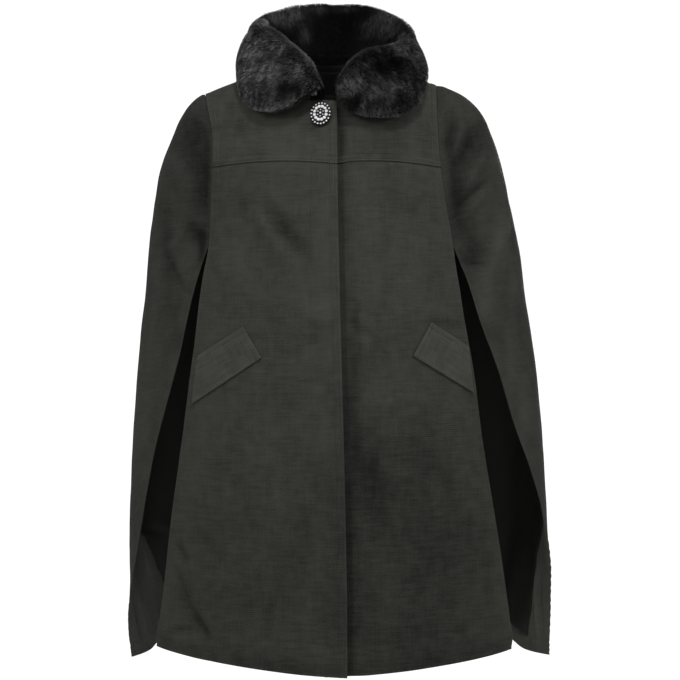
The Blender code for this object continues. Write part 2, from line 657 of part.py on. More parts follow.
def build():
    for old in list(bpy.data.objects):
        bpy.data.objects.remove(old, do_unlink=True)
    wool = (0.040, 0.041, 0.036)
    black = (0.006, 0.006, 0.006)
    yokes = {side: yoke_grid(side) for side in SIGN}
    fronts = {side: front_grid(side) for side in SIGN}
    sides = {side: side_grid(side) for side in SIGN}
    back = back_grid()
    toward = (0.0, -1.0, 0.0)
    yoke_n = {side: grid_normals(yokes[side], toward) for side in SIGN}
    front_n = {side: grid_normals(fronts[side], toward) for side in SIGN}
    side_n = {side: grid_normals(sides[side], (SIGN[side], 0.0, 0.0)) for side in SIGN}
    back_n = grid_normals(back, (0.0, 1.0, 0.0))
    upper = len(YOKE_ROWS)
    middle = BACK_COLUMNS // 2
    for side in SIGN:
        shoulder = yoke_n[side][0, NECK_COLUMNS:]
        shoulder[:, 1] = 0.0
        shoulder /= np.linalg.norm(shoulder, axis=-1, keepdims=True)
        share_normals(yoke_n[side][-1], front_n[side][0])
        share_normals(yoke_n[side][1:, -1], side_n[side][1:upper, 0])
        share_normals(front_n[side][1:4, -1], side_n[side][upper:upper + 3, 0])
        share_normals(back_n[1:, 0 if side == "right" else BACK_COLUMNS], side_n[side][1:, -1])
        side_n[side][0] = yoke_n[side][0, -1]
    for j in range(BACK_COLUMNS + 1):
        if abs(j - middle) >= BACK_NECK_COLUMNS:
            back_n[0, j, 1] = 0.0
            back_n[0, j] /= np.linalg.norm(back_n[0, j])
    for side in SIGN:
        add_wall("yoke_" + side, yokes[side], yoke_n[side], 0.0, CLOTH, material("yoke_" + side, wool, 0.9))
        add_wall("front_" + side, fronts[side], front_n[side], 0.0, CLOTH,
                 material("front_" + side, wool, 0.9))
        add_wall("cape_side_" + side, sides[side], side_n[side], 0.0, CLOTH,
                 material("cape_side_" + side, wool, 0.9))
        rows = slice(LINING_TOP_ROW, LINING_END_ROW[side])
        add_wall("lining_side_" + side, sides[side][rows, 2:], side_n[side][rows, 2:], -CLOTH - SEAM,
                 LINING_CLOTH, material("lining_side_" + side, black, 0.4))
        add_welt(side, material("welt_" + side, wool, 0.9))
    add_wall("back", back, back_n, 0.0, CLOTH, material("back", wool, 0.9))
    rows = slice(LINING_TOP_ROW, LINING_END_ROW["left"])
    add_wall("lining_back", back[rows], back_n[rows], -CLOTH - SEAM, LINING_CLOTH,
             material("lining_back", black, 0.4))
    neck = np.s_[1:LINING_TOP_ROW + 1, middle - BACK_NECK_COLUMNS + 1:middle + BACK_NECK_COLUMNS]
    facing = back[neck].copy()
    rise = facing[-2] - facing[-1]
    facing[-1] += SEAM * rise / np.linalg.norm(rise, axis=-1, keepdims=True)
    add_wall("neck_facing", facing, back_n[neck], -CLOTH - SEAM, LINING_CLOTH,
             material("neck_facing", black, 0.4))
    label = np.s_[2:5, middle - 1:middle + 2]
    add_wall("neck_label", back[label], back_n[label], -CLOTH - LINING_CLOTH - 2.0 * SEAM, LINING_CLOTH,
             material("neck_label", black, 0.5))
    add_collar(material("collar", (0.018, 0.018, 0.018), 0.8))
    add_turned("button_base", BUTTON_BASE, 28, 0, False, material("button_base", black, 0.15))
    add_turned("button_setting", BUTTON_RING, 48, BUTTON_STONES, True,
               material("button_setting", (0.75, 0.75, 0.77), 0.1))


build()
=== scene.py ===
"""Looks of a wool cape coat: brushed cloth shells, black lining, fur collar, stitching and a jewelled button,
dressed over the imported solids. Metres, +Z up, the front faces -Y and +X is the wearer's left."""
import math
from collections import namedtuple

import bpy
import numpy as np
from mathutils.kdtree import KDTree
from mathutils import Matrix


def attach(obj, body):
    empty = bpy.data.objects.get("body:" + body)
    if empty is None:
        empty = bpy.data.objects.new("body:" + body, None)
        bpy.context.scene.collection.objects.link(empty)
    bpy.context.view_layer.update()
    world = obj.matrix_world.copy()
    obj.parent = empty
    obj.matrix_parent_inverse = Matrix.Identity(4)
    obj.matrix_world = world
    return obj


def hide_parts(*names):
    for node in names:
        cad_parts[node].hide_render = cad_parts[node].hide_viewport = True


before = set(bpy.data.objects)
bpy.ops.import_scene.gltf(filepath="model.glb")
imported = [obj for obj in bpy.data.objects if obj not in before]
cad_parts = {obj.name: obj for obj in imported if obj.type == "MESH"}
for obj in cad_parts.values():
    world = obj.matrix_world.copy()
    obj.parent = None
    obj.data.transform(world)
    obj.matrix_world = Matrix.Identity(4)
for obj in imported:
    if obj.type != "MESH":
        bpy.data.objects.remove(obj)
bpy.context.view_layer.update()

# Yokes and fronts. Brushed charcoal wool, cut as two yokes and two fronts and joined by an arched seam that
# is pressed up and stitched down. The wearer's right front laps over the left one and hides its fastening
# under a stitched fly; a stitched band follows each armhole seam.
SIGN = {"right": -1.0, "left": 1.0}
CLOTH = 0.0022
SEAM = 0.0003

# Neckline, shoulder line and how the body rounds over to it
NECK_HALF = 0.068
NECK_DROP = 0.062
NECK_RISE = 0.051
SHOULDER_SLOPE = 0.38
DOME_FOOT = -0.190
DOME_BEND = 1.8
DOME_ROUND = 0.62

# Yoke seam, top of the slit and hem
YOKE_SEAM = -0.1525
YOKE_ARCH = 0.005
NECK_SHARE = 8.0 / 14.0
SLIT_TOP = -0.262
FRONT_HEM = -0.8435
FRONT_CORNER = {"right": -0.817, "left": -0.821}
HEM_BEND = 1.25

# Centre edges: how far the right front laps over the left one, how that one steps back and hollows under it,
# and the fly stitched down beside the edge
CLOSURE_TOP = 0.007
CLOSURE_HEM = 0.021
UNDERLAP = 0.030
LAP_STEP = CLOTH + 0.0020
LAP_FLAT = 0.003
LAP_RAMP = 0.034
CLOSURE_HOLLOW = 0.0050
HOLLOW_REACH = 0.013
HOLLOW_FROM_TO = (-0.085, -0.130)
FLY_X = -0.030
FLY_TOP = -0.098
FLY_FOOT = -0.474
FLY_END_X = 0.006
FLY_END_Z = -0.493

# Stitched bands: where their stitches lie, how deep and wide these press in, and how the layers inside pad
# them. A seam's turning is in millimetres, as the places along a width are.
BAND = 0.0090
BAND_FALL = 0.0016
TURNING = 6.0
TUCK = CLOTH + 0.0012
EDGE_STITCHES = (0.0055, 0.0122)
YOKE_STITCHES = (0.0020, 0.0085)
GROOVE = 0.0007
GROOVE_REACH = 0.0012
YOKE_GROOVE = 0.0009
EDGE_GROOVE = 0.0011
FLY_GROOVE = 0.0013
YOKE_PAD = 0.0007
ARMHOLE_PAD = 0.0008
EDGE_PAD = 0.0006
FLY_PAD = 0.0004
EDGE_PUCKER = 0.8
SEAM_DIP = 0.0011
SEAM_DIP_REACH = 0.0032

# Hem turned up and caught inside; cut edges roll in, rubbed paler and with a painted highlight
HEM_TURN = 0.040
HEM_PAD = 0.0004
HEM_DENT = 0.0005
HEM_DENT_REACH = 0.0035
HEM_ROLL = 0.0040
HEM_ROLL_REACH = 0.024
EDGE_ROLL = 0.4
EDGE_WEAR_AND_HIGHLIGHT = 0.15
EDGE_WEAR_AND_HIGHLIGHT_REACH = 0.0022

# Half widths of the cape and of the front panels by height
Level = namedtuple("Level", "z right_out left_out right_edge left_edge")
LEVELS = (
    Level(-0.028, 0.1480, 0.1480, 0.1860, 0.1480),
    Level(-0.045, 0.1860, 0.1860, 0.1800, 0.1475),
    Level(-0.060, 0.2040, 0.2040, 0.1770, 0.1470),
    Level(-0.075, 0.2145, 0.2145, 0.1735, 0.1470),
    Level(-0.100, 0.2255, 0.2255, 0.1680, 0.1480),
    Level(-0.135, 0.2380, 0.2375, 0.1662, 0.1490),
    Level(-0.190, 0.2505, 0.2505, 0.1668, 0.1555),
    Level(-0.262, 0.2600, 0.2640, 0.1710, 0.1675),
    Level(-0.310, 0.2640, 0.2710, 0.1800, 0.1755),
    Level(-0.365, 0.2697, 0.2790, 0.1870, 0.1840),
    Level(-0.420, 0.2745, 0.2865, 0.1940, 0.1940),
    Level(-0.530, 0.2825, 0.2980, 0.2080, 0.2090),
    Level(-0.640, 0.2880, 0.3055, 0.2235, 0.2265),
    Level(-0.750, 0.2910, 0.3125, 0.2360, 0.2435),
    Level(-0.845, 0.2880, 0.3130, 0.2520, 0.2560),
)

# Depth of the centre front and back, and the share of it left at the front panels' side edges
Depth = namedtuple("Depth", "z front wrap back")
DEPTHS = (
    Depth(-0.030, 0.108, 0.60, 0.100),
    Depth(-0.140, 0.118, 0.58, 0.118),
    Depth(-0.262, 0.126, 0.56, 0.130),
    Depth(-0.550, 0.147, 0.47, 0.148),
    Depth(-0.845, 0.168, 0.36, 0.168),
)

# Broad folds that the cloth hangs in, across in metres on the front
Fold = namedtuple("Fold", "across_top z_top across_foot z_foot rise width")
FRONT_FOLDS = (
    Fold(-0.060, -0.560, -0.045, -0.960, 0.0035, 0.030),
    Fold(0.085, -0.480, 0.110, -0.960, 0.0045, 0.034),
    Fold(-0.215, -0.690, -0.165, -0.860, -0.0045, 0.016),
)

# Soft uneven swells of one height and size all over a piece
Swell = namedtuple("Swell", "rise size seed")
FRONT_SWELLS = (Swell(0.0006, 0.050, 1), Swell(0.00022, 0.019, 2))
PUCKER = (Swell(0.00025, 0.0065, 5),)

# Creases given between two points: lean raises one side of the line and lowers the other
Crease = namedtuple("Crease", "x_top z_top x_foot z_foot rise width lean")
FRONT_CREASES = (
    Crease(-0.101, -0.198, -0.026, -0.291, -0.0074, 0.011, 0.0),
    Crease(-0.109, -0.207, -0.057, -0.294, 0.0062, 0.010, 0.0),
    Crease(-0.150, -0.232, -0.142, -0.322, 0.0028, 0.008, 0.3),
    Crease(-0.135, -0.250, -0.124, -0.330, 0.0021, 0.010, 0.0),
    Crease(-0.019, -0.242, -0.008, -0.378, 0.0030, 0.012, 0.0),
    Crease(-0.048, -0.371, 0.008, -0.378, -0.0039, 0.007, 0.3),
    Crease(0.019, -0.366, 0.058, -0.387, -0.0041, 0.008, 0.3),
    Crease(0.050, -0.478, 0.140, -0.470, 0.0024, 0.005, 0.2),
    Crease(-0.2175, -0.668, -0.198, -0.703, -0.0065, 0.006, 0.0),
    Crease(-0.219, -0.701, -0.194, -0.764, -0.0070, 0.006, 0.0),
    Crease(-0.200, -0.753, -0.163, -0.804, -0.0095, 0.007, 0.0),
    Crease(-0.227, -0.790, -0.186, -0.787, -0.0060, 0.005, 0.0),
    Crease(-0.1805, -0.649, -0.142, -0.704, -0.0050, 0.008, 0.3),
    Crease(0.0315, -0.488, 0.066, -0.652, -0.0046, 0.022, 0.0),
    Crease(0.084, -0.690, 0.064, -0.806, 0.0048, 0.020, 0.0),
    Crease(0.104, -0.155, 0.138, -0.186, -0.0028, 0.006, 0.2),
    Crease(0.114, -0.202, 0.146, -0.188, -0.0024, 0.006, 0.2),
    Crease(0.074, -0.178, 0.086, -0.330, 0.0033, 0.020, 0.0),
    Crease(-0.148, -0.062, -0.118, -0.112, -0.0044, 0.010, 0.2),
    Crease(0.020, -0.095, 0.040, -0.140, -0.0028, 0.010, 0.2),
    Crease(0.140, -0.560, 0.178, -0.640, -0.0039, 0.014, 0.2),
    Crease(-0.120, -0.520, -0.080, -0.640, 0.0033, 0.022, 0.0),
)
FLY_SLANT = (Crease(FLY_X, FLY_FOOT, FLY_END_X, FLY_END_Z, -0.0016, 0.0032, 0.45),)

# Patches of nap pressed flat and blacker or brushed up and paler, and of painted shade and light
NapAndShade = namedtuple("NapAndShade", "x z across high tone")
# Painted shade in the troughs of creases and painted light on their ridges, by crease height
CREASE_PAINTED_SHADE = 20.0
HEM_SHADE = 0.14
HEM_SHADE_REACH = 0.035
LAP_SHADE = 0.16
LAP_SHADE_REACH = 0.010
# Painted shadows beside the lap and under the collar and the button, painted shade and light on the front,
# and nap
FRONT_NAP_AND_SHADE = (
    NapAndShade(0.045, -0.570, 0.034, 0.080, -0.12),
    NapAndShade(0.125, -0.690, 0.130, 0.170, -0.30),
    NapAndShade(-0.100, -0.700, 0.130, 0.150, -0.13),
    NapAndShade(0.150, -0.367, 0.032, 0.006, -0.25),
    NapAndShade(0.083, -0.447, 0.024, 0.034, 0.12),
    NapAndShade(0.110, -0.525, 0.050, 0.040, -0.12),
    NapAndShade(0.031, -0.440, 0.009, 0.130, -0.24),
    NapAndShade(-0.022, -0.387, 0.018, 0.008, -0.24),
    NapAndShade(-0.018, -0.345, 0.024, 0.012, 0.16),
    NapAndShade(-0.125, -0.208, 0.024, 0.020, -0.18),
    NapAndShade(-0.052, -0.212, 0.024, 0.014, 0.14),
    NapAndShade(0.098, -0.207, 0.034, 0.024, -0.18),
    NapAndShade(0.013, -0.112, 0.007, 0.024, -0.34),
    NapAndShade(-0.028, -0.099, 0.013, 0.010, -0.24),
    NapAndShade(-0.130, -0.098, 0.030, 0.012, -0.14),
    NapAndShade(0.150, -0.790, 0.080, 0.030, -0.12),
    NapAndShade(-0.007, -0.221, 0.011, 0.024, 0.20),
    NapAndShade(-0.012, -0.352, 0.013, 0.032, 0.10),
    NapAndShade(-0.010, -0.524, 0.012, 0.026, 0.10),
    NapAndShade(-0.090, -0.235, 0.030, 0.030, -0.04),
    NapAndShade(0.095, -0.110, 0.060, 0.038, -0.14),
    NapAndShade(0.040, -0.250, 0.040, 0.070, 0.06),
    NapAndShade(-0.165, -0.190, 0.020, 0.040, -0.12),
)


def curve(places, values, slopes):
    """Smooth curve through values at rising places, with a slope at each of them."""

    def at(place):
        k = np.clip(np.searchsorted(places, place) - 1, 0, len(places) - 2)
        span = places[k + 1] - places[k]
        t = np.clip((place - places[k]) / span, 0.0, 1.0)
        start = (1.0 + 2.0 * t) * (1.0 - t) ** 2 * values[k] + t * (1.0 - t) ** 2 * span * slopes[k]
        end = t * t * (3.0 - 2.0 * t) * values[k + 1] - t * t * (1.0 - t) * span * slopes[k + 1]
        return start + end

    return at


def through(rows, name):
    """Smooth curve of height through one column of a table."""
    heights = np.array([row.z for row in rows])[::-1]
    values = np.array([getattr(row, name) for row in rows])[::-1]
    return curve(heights, values, np.gradient(values, heights))


def ease(low, high, value):
    """Smooth step from 0 at low to 1 at high."""
    t = np.clip((value - low) / (high - low), 0.0, 1.0)
    return t * t * (3.0 - 2.0 * t)


def bell(distance, reach):
    """1 on a line, falling away softly on both sides of it."""
    return np.exp(-((distance / reach) ** 2))


def folded(folds, across, z):
    """Height of broad folds, each fading out at its top and foot."""
    total = np.zeros(np.broadcast(across, z).shape)
    for fold in folds:
        along = np.clip((z - fold.z_top) / (fold.z_foot - fold.z_top), 0.0, 1.0)
        middle = fold.across_top + along * (fold.across_foot - fold.across_top)
        total += fold.rise * np.sin(math.pi * along) ** 2 * bell(across - middle, fold.width)
    return total


def creased(creases, x, z):
    """Height of the given creases, each fading out at both ends."""
    total = np.zeros(np.broadcast(x, z).shape)
    for crease in creases:
        run_x = crease.x_foot - crease.x_top
        run_z = crease.z_foot - crease.z_top
        length = math.hypot(run_x, run_z)
        along = ((x - crease.x_top) * run_x + (z - crease.z_top) * run_z) / length ** 2
        off = ((x - crease.x_top) * run_z - (z - crease.z_top) * run_x) / (length * crease.width)
        fade = ease(-0.08, 0.35, along) * (1.0 - ease(0.65, 1.08, along))
        tilt = 1.0 - crease.lean + 1.6 * crease.lean * off
        total += crease.rise * fade * bell(off, 1.0) * tilt
    return total


def rumpled(u, v, size, seed):
    """Soft uneven swells of about one size, from -1 to 1."""
    table = np.random.default_rng(seed).uniform(-1.0, 1.0, (97, 97))
    x = np.asarray(u) / size + 40.0
    y = np.asarray(v) / size + 40.0
    i = np.floor(x).astype(int)
    j = np.floor(y).astype(int)
    s = (x - i) ** 2 * (3.0 - 2.0 * (x - i))
    t = (y - j) ** 2 * (3.0 - 2.0 * (y - j))
    low = table[i % 97, j % 97] * (1.0 - s) + table[(i + 1) % 97, j % 97] * s
    high = table[i % 97, (j + 1) % 97] * (1.0 - s) + table[(i + 1) % 97, (j + 1) % 97] * s
    return low * (1.0 - t) + high * t


def swelling(swells, u, v):
    """Height of several sizes of swell together."""
    return sum(swell.rise * rumpled(u, v, swell.size, swell.seed) for swell in swells)


def nap_and_shade_tone(patches, x, z):
    """How much paler each place is painted, by patches of nap and of painted shade and light."""
    total = np.zeros(np.broadcast(x, z).shape)
    for patch in patches:
        total += patch.tone * bell(x - patch.x, patch.across) * bell(z - patch.z, patch.high)
    return total


def band(distance, width, rise):
    """Edge band padded by its turnings, with a groove under the line of stitches that holds it."""
    pad = rise * (1.0 - ease(width - BAND_FALL, width + GROOVE_REACH, distance))
    return pad - GROOVE * bell(distance - width, GROOVE_REACH)


EDGE = {side: through(LEVELS, side + "_edge") for side in SIGN}
FRONT_DEPTH = through(DEPTHS, "front")
WRAP = through(DEPTHS, "wrap")


def shoulder_z(x):
    """Height of the shoulder line, which climbs more steeply inside the neck."""
    inside = np.maximum(NECK_HALF - np.abs(x), 0.0) / NECK_HALF
    return SHOULDER_SLOPE * (NECK_HALF - np.abs(x)) + inside * (NECK_RISE - SHOULDER_SLOPE * NECK_HALF)


def dome(x, z):
    """Share of the depth left as the body rounds over to the shoulder line."""
    t = np.clip((z - DOME_FOOT) / (shoulder_z(x) - DOME_FOOT), 0.0, 1.0)
    return (1.0 - t ** DOME_BEND) ** DOME_ROUND


def front_y(x, z):
    """Outer face of the front, an ellipse in plan."""
    wrap = WRAP(z)
    half = np.where(x > 0.0, EDGE["left"](z), EDGE["right"](z)) / np.sqrt(1.0 - wrap * wrap)
    bow = np.sqrt(np.maximum(1.0 - (x / half) ** 2, 0.0))
    return -FRONT_DEPTH(z) * bow * dome(x, z) - folded(FRONT_FOLDS, x, z) - SEAM / 2.0


def closure_x(side, z):
    """Centre edge of a front: the right one laps over, the left one runs on beneath it."""
    lap = CLOSURE_TOP + ease(-NECK_DROP, FRONT_HEM, z) * (CLOSURE_HEM - CLOSURE_TOP)
    return lap if side == "right" else lap - UNDERLAP


def lapped_y(side, x, z):
    """Outer face of one front: the left one steps back under the lap."""
    y = front_y(x, z)
    if side == "left":
        lap = closure_x("right", z)
        y += LAP_STEP * (1.0 - ease(lap + LAP_FLAT, lap + LAP_RAMP, x))
    return y


def yoke_seam_z(share):
    """Height of the yoke seam, arched between the closure and the side edge."""
    return YOKE_SEAM + YOKE_ARCH * np.sin(math.pi * np.clip(share, 0.0, 1.0))


def front_share(side, x, z):
    """Place across a front, from 0 at its centre edge to 1 at its side edge."""
    start = closure_x(side, z)
    return (x - start) / (SIGN[side] * EDGE[side](z) - start)


def hem_z(side, share):
    """Height of a front's hem, curving up towards its side edge."""
    return FRONT_HEM + (FRONT_CORNER[side] - FRONT_HEM) * np.clip(share, 0.0, 1.0) ** HEM_BEND


def front_relief(side, x, z):
    """Height of everything sewn or creased into a front or yoke above its smooth form."""
    share = front_share(side, x, z)
    seam = z - yoke_seam_z(share)
    to_side = EDGE[side](z) - SIGN[side] * x
    to_hem = z - hem_z(side, share)
    pucker = swelling(PUCKER, x, z)
    height = creased(FRONT_CREASES, x, z) + swelling(FRONT_SWELLS, x, z)
    above = band(np.abs(seam), YOKE_STITCHES[1], YOKE_PAD) + pucker * (seam < BAND)
    above -= GROOVE * bell(seam - YOKE_STITCHES[0], YOKE_GROOVE)
    height += np.where(seam > 0.0, above, -SEAM_DIP * bell(seam, SEAM_DIP_REACH))
    armhole = ease(SLIT_TOP - 0.02, SLIT_TOP + 0.01, z)
    height += armhole * (band(to_side, BAND, ARMHOLE_PAD) + pucker * (to_side < BAND))
    height -= HEM_DENT * bell(to_hem - HEM_TURN, HEM_DENT_REACH)
    height += HEM_PAD * (1.0 - ease(HEM_TURN - 0.004, HEM_TURN, to_hem))
    height -= HEM_ROLL * (1.0 - ease(0.0, HEM_ROLL_REACH, to_hem)) ** 2
    if side == "right":
        edge = closure_x("right", z) - x
        height += band(edge, EDGE_STITCHES[1], EDGE_PAD)
        height += EDGE_PUCKER * pucker * (edge < EDGE_STITCHES[1])
        height -= GROOVE * bell(edge - EDGE_STITCHES[0], EDGE_GROOVE)
        fly = ease(FLY_FOOT - 0.002, FLY_FOOT + 0.002, z) * (1.0 - ease(FLY_TOP - 0.004, FLY_TOP, z))
        raised = FLY_PAD * ease(-0.001, 0.003, x - FLY_X) - GROOVE * bell(x - FLY_X, FLY_GROOVE)
        height = height + fly * raised + creased(FLY_SLANT, x, z)
    else:
        past = np.maximum(x - closure_x("right", z), 0.0)
        height -= CLOSURE_HOLLOW * bell(past, HOLLOW_REACH) * ease(*HOLLOW_FROM_TO, z)
    return height


def shade_tone(side, x, z):
    """Painted shade on a front where it lies under the lap and along its hem."""
    tone = -HEM_SHADE * (1.0 - ease(0.0, HEM_SHADE_REACH, z - hem_z(side, front_share(side, x, z))))
    if side == "left":
        tone -= LAP_SHADE * bell(np.maximum(x - closure_x("right", z), 0.0), LAP_SHADE_REACH)
    return tone


def front_frame(side, x, z):
    """Points and outward directions of a front's smooth form."""
    step = 0.0006
    y = lapped_y(side, x, z)
    slope_x = (lapped_y(side, x + step, z) - lapped_y(side, x - step, z)) / (2.0 * step)
    slope_z = (lapped_y(side, x, z + step) - lapped_y(side, x, z - step)) / (2.0 * step)
    out = np.stack([slope_x, -np.ones_like(y), slope_z], axis=-1)
    return np.stack([x, y, z], axis=-1), out / np.linalg.norm(out, axis=-1, keepdims=True)


def spaced(near, far, steps):
    """Places along a width in millimetres from its start and its end, with even steps between them: for each
    place its fixed distance and its share of what is left over, and the width that the fixed ones take."""
    near = np.array(near) / 1000.0
    far = np.array(far) / 1000.0
    taken = near[-1] + far[-1]
    fixed = np.concatenate([near, np.full(steps - 1, near[-1]), taken - far[::-1]])
    return fixed, np.concatenate([np.zeros(len(near)), np.arange(1, steps) / steps, np.ones(len(far))]), taken


def placed(places, width):
    """Distances of spaced places along each width, drawn together where the width is short."""
    fixed, share, taken = places
    squeeze = np.minimum(1.0, 0.6 * width / taken)
    return fixed * squeeze + share * (width - taken * squeeze)


def upright(places):
    """Spaced places turned to run down the rows of a grid."""
    return places[0][:, None], places[1][:, None], places[2]


def face_loops(rows, columns, first):
    """Quads of a grid of points, numbered from first."""
    corner = first + np.arange(rows - 1)[:, None] * columns + np.arange(columns - 1)[None, :]
    return np.stack([corner, corner + 1, corner + columns + 1, corner + columns], axis=-1).reshape(-1, 4)


def add_piece(name, points, faces, surface, marks=None, smooth=True):
    """One mesh piece that rides on the coat; marks is a vector for each point that its finish reads."""
    mesh = bpy.data.meshes.new(name)
    mesh.vertices.add(len(points))
    mesh.vertices.foreach_set("co", np.ascontiguousarray(points, dtype=np.float32).ravel())
    mesh.loops.add(faces.size)
    mesh.loops.foreach_set("vertex_index", np.ascontiguousarray(faces, dtype=np.int32).ravel())
    mesh.polygons.add(len(faces))
    mesh.polygons.foreach_set("loop_start", np.arange(0, faces.size, faces.shape[1], dtype=np.int32))
    mesh.update(calc_edges=True)
    mesh.polygons.foreach_set("use_smooth", np.full(len(faces), smooth))
    if marks is not None:
        layer = mesh.attributes.new("marks", "FLOAT_VECTOR", "POINT")
        layer.data.foreach_set("vector", np.ascontiguousarray(marks, dtype=np.float32).ravel())
    mesh.materials.append(surface)
    piece = bpy.data.objects.new(name, mesh)
    bpy.context.scene.collection.objects.link(piece)
    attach(piece, "root")
    return piece


def arc_lengths(grid, axis):
    """Distance along each line of a grid from its start."""
    steps = np.linalg.norm(np.diff(grid, axis=axis), axis=-1)
    start = np.zeros_like(np.take(steps, [0], axis=axis))
    return np.concatenate([start, np.cumsum(steps, axis=axis)], axis=axis)


def add_cloth(name, grid, out, height, thickness, surface, tone=0.0, inside=None, grain=None):
    """Thin shell on a grid of points, raised by height along out, with its edges rolled over. Its marks are
    the places across and down its grain and its tone: edge wear with a painted edge highlight, plus the given
    nap, painted shade and painted light, which may differ on the inside."""
    rows, columns = grid.shape[:2]
    outer = grid + out * height[..., None]
    inner = outer - out * thickness
    rim = 0.5 * (outer + inner)
    roll = EDGE_ROLL * thickness
    for side_points in (outer, inner):
        for edge, within in ((np.s_[0], np.s_[1]), (np.s_[-1], np.s_[-2]),
                             (np.s_[:, 0], np.s_[:, 1]), (np.s_[:, -1], np.s_[:, -2])):
            pull = side_points[within] - side_points[edge]
            size = np.linalg.norm(pull, axis=-1, keepdims=True)
            side_points[edge] += pull * np.minimum(roll / np.maximum(size, 1e-6), 0.45)
    across = arc_lengths(grid, 1)
    down = arc_lengths(grid, 0)
    to_edge = np.minimum(np.minimum(across, across[:, -1:] - across), np.minimum(down, down[-1:] - down))
    across, down = (across, down) if grain is None else grain
    # The third mark: edge wear with a painted edge highlight, plus the given tone
    marks = np.stack([across, down, EDGE_WEAR_AND_HIGHLIGHT * np.exp(-to_edge / EDGE_WEAR_AND_HIGHLIGHT_REACH) + tone], axis=-1)
    count = rows * columns
    around = np.concatenate([np.arange(columns), np.arange(2, rows + 1) * columns - 1,
                             np.arange(rows * columns - 2, (rows - 1) * columns - 1, -1),
                             np.arange(rows - 2, 0, -1) * columns])
    after = np.roll(around, -1)
    loop = 2 * count + np.arange(len(around))
    ahead = np.roll(loop, -1)
    faces = np.concatenate([
        face_loops(rows, columns, 0),
        face_loops(rows, columns, count)[:, ::-1],
        np.stack([after, around, loop, ahead], axis=-1),
        np.stack([ahead, loop, count + around, count + after], axis=-1),
    ])
    points = np.concatenate([outer.reshape(-1, 3), inner.reshape(-1, 3), rim.reshape(-1, 3)[around]])
    lines = marks.reshape(-1, 3)
    lines_inside = lines
    if inside is not None:
        lines_inside = np.stack([across, down, inside], axis=-1).reshape(-1, 3)
    middle = (rows // 2) * columns + columns // 2
    normal = np.cross(points[middle + 1] - points[middle], points[middle + columns] - points[middle])
    if np.dot(normal, out.reshape(-1, 3)[middle]) < 0.0:
        faces = faces[:, ::-1]
    return add_piece(name, points, faces, surface,
                     np.concatenate([lines, lines_inside, lines[around]]))


def cell_areas(grid):
    """Area of each cell of a grid of points."""
    corner = np.cross(grid[1:, 1:] - grid[:-1, :-1], grid[1:, :-1] - grid[:-1, 1:])
    return np.linalg.norm(corner, axis=-1) / 2.0


def dress(node, grid, rests_on):
    """Put a sheet in the place of its plain solid by hiding that solid, and measure its flat cut along its
    smooth form."""
    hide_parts(node)
    width = float(arc_lengths(grid, 1)[:, -1].max())
    length = float(arc_lengths(grid, 0)[-1].max())
    area = min(float(cell_areas(grid).sum()), width * length)


class Shade:
    """A value in a finish's node tree: arithmetic on it adds Math nodes."""

    def __init__(self, tree, socket=None):
        self.tree = tree
        self.socket = socket

    def node(self, kind, settings, sockets, out=0):
        """A node of one kind, with its settings made first and its sockets then filled or linked."""
        made = self.tree.nodes.new(kind)
        for name, value in settings.items():
            setattr(made, name, value)
        for place, value in sockets.items():
            if isinstance(value, Shade):
                self.tree.links.new(value.socket, made.inputs[place])
            else:
                made.inputs[place].default_value = value
        return Shade(self.tree, made.outputs[out])

    def math(self, operation, *values):
        return self.node("ShaderNodeMath", {"operation": operation}, dict(enumerate(values)))

    def __add__(self, other):
        return self.math("ADD", self, other)

    def __radd__(self, other):
        return self.math("ADD", other, self)

    def __sub__(self, other):
        return self.math("SUBTRACT", self, other)

    def __rsub__(self, other):
        return self.math("SUBTRACT", other, self)

    def __mul__(self, other):
        return self.math("MULTIPLY", self, other)

    def __rmul__(self, other):
        return self.math("MULTIPLY", other, self)

    def __truediv__(self, other):
        return self.math("DIVIDE", self, other)

    def __rtruediv__(self, other):
        return self.math("DIVIDE", other, self)

    def __pow__(self, other):
        return self.math("POWER", self, other)

    def __rpow__(self, other):
        return self.math("POWER", other, self)

    def sine(self):
        return self.math("SINE", self)

    def part(self, index):
        """One number of a vector."""
        return self.node("ShaderNodeSeparateXYZ", {}, {0: self}, out=index)

    def marks(self):
        """The vector that a piece carries at each of its points."""
        return self.node("ShaderNodeAttribute", {"attribute_name": "marks"}, {}, out="Vector")

    def noise(self, x, y, detail, z=0.0):
        """Noise from 0 to 1 at a place already scaled to the size of its swells."""
        place = self.node("ShaderNodeCombineXYZ", {}, {0: x, 1: y, 2: z})
        return self.node("ShaderNodeTexNoise", {}, {"Vector": place, "Scale": 1.0, "Detail": detail})

    def mix(self, share, first, second):
        """Colour between two colours, or beyond the second where the share is over 1."""
        share = share.math("MAXIMUM", share, 0.0)
        return self.node("ShaderNodeMix", {"data_type": "RGBA", "clamp_factor": False},
                         {0: share, 6: first, 7: second}, out=2)

    def bump(self, strength, distance):
        """Surface direction from this value as a height."""
        return self.node("ShaderNodeBump", {}, {"Strength": strength, "Distance": distance, "Height": self})


def new_finish(name, fixed):
    """A material with the sockets of its shader that are the same all over, and a start for its values."""
    made = bpy.data.materials.new(name)
    made.use_nodes = True
    for socket, value in fixed.items():
        made.node_tree.nodes["Principled BSDF"].inputs[socket].default_value = value
    return made, Shade(made.node_tree)


def feed(made, links):
    """Link node values to the sockets of a material's shader."""
    for socket, value in links.items():
        made.node_tree.links.new(value.socket, made.node_tree.nodes["Principled BSDF"].inputs[socket])


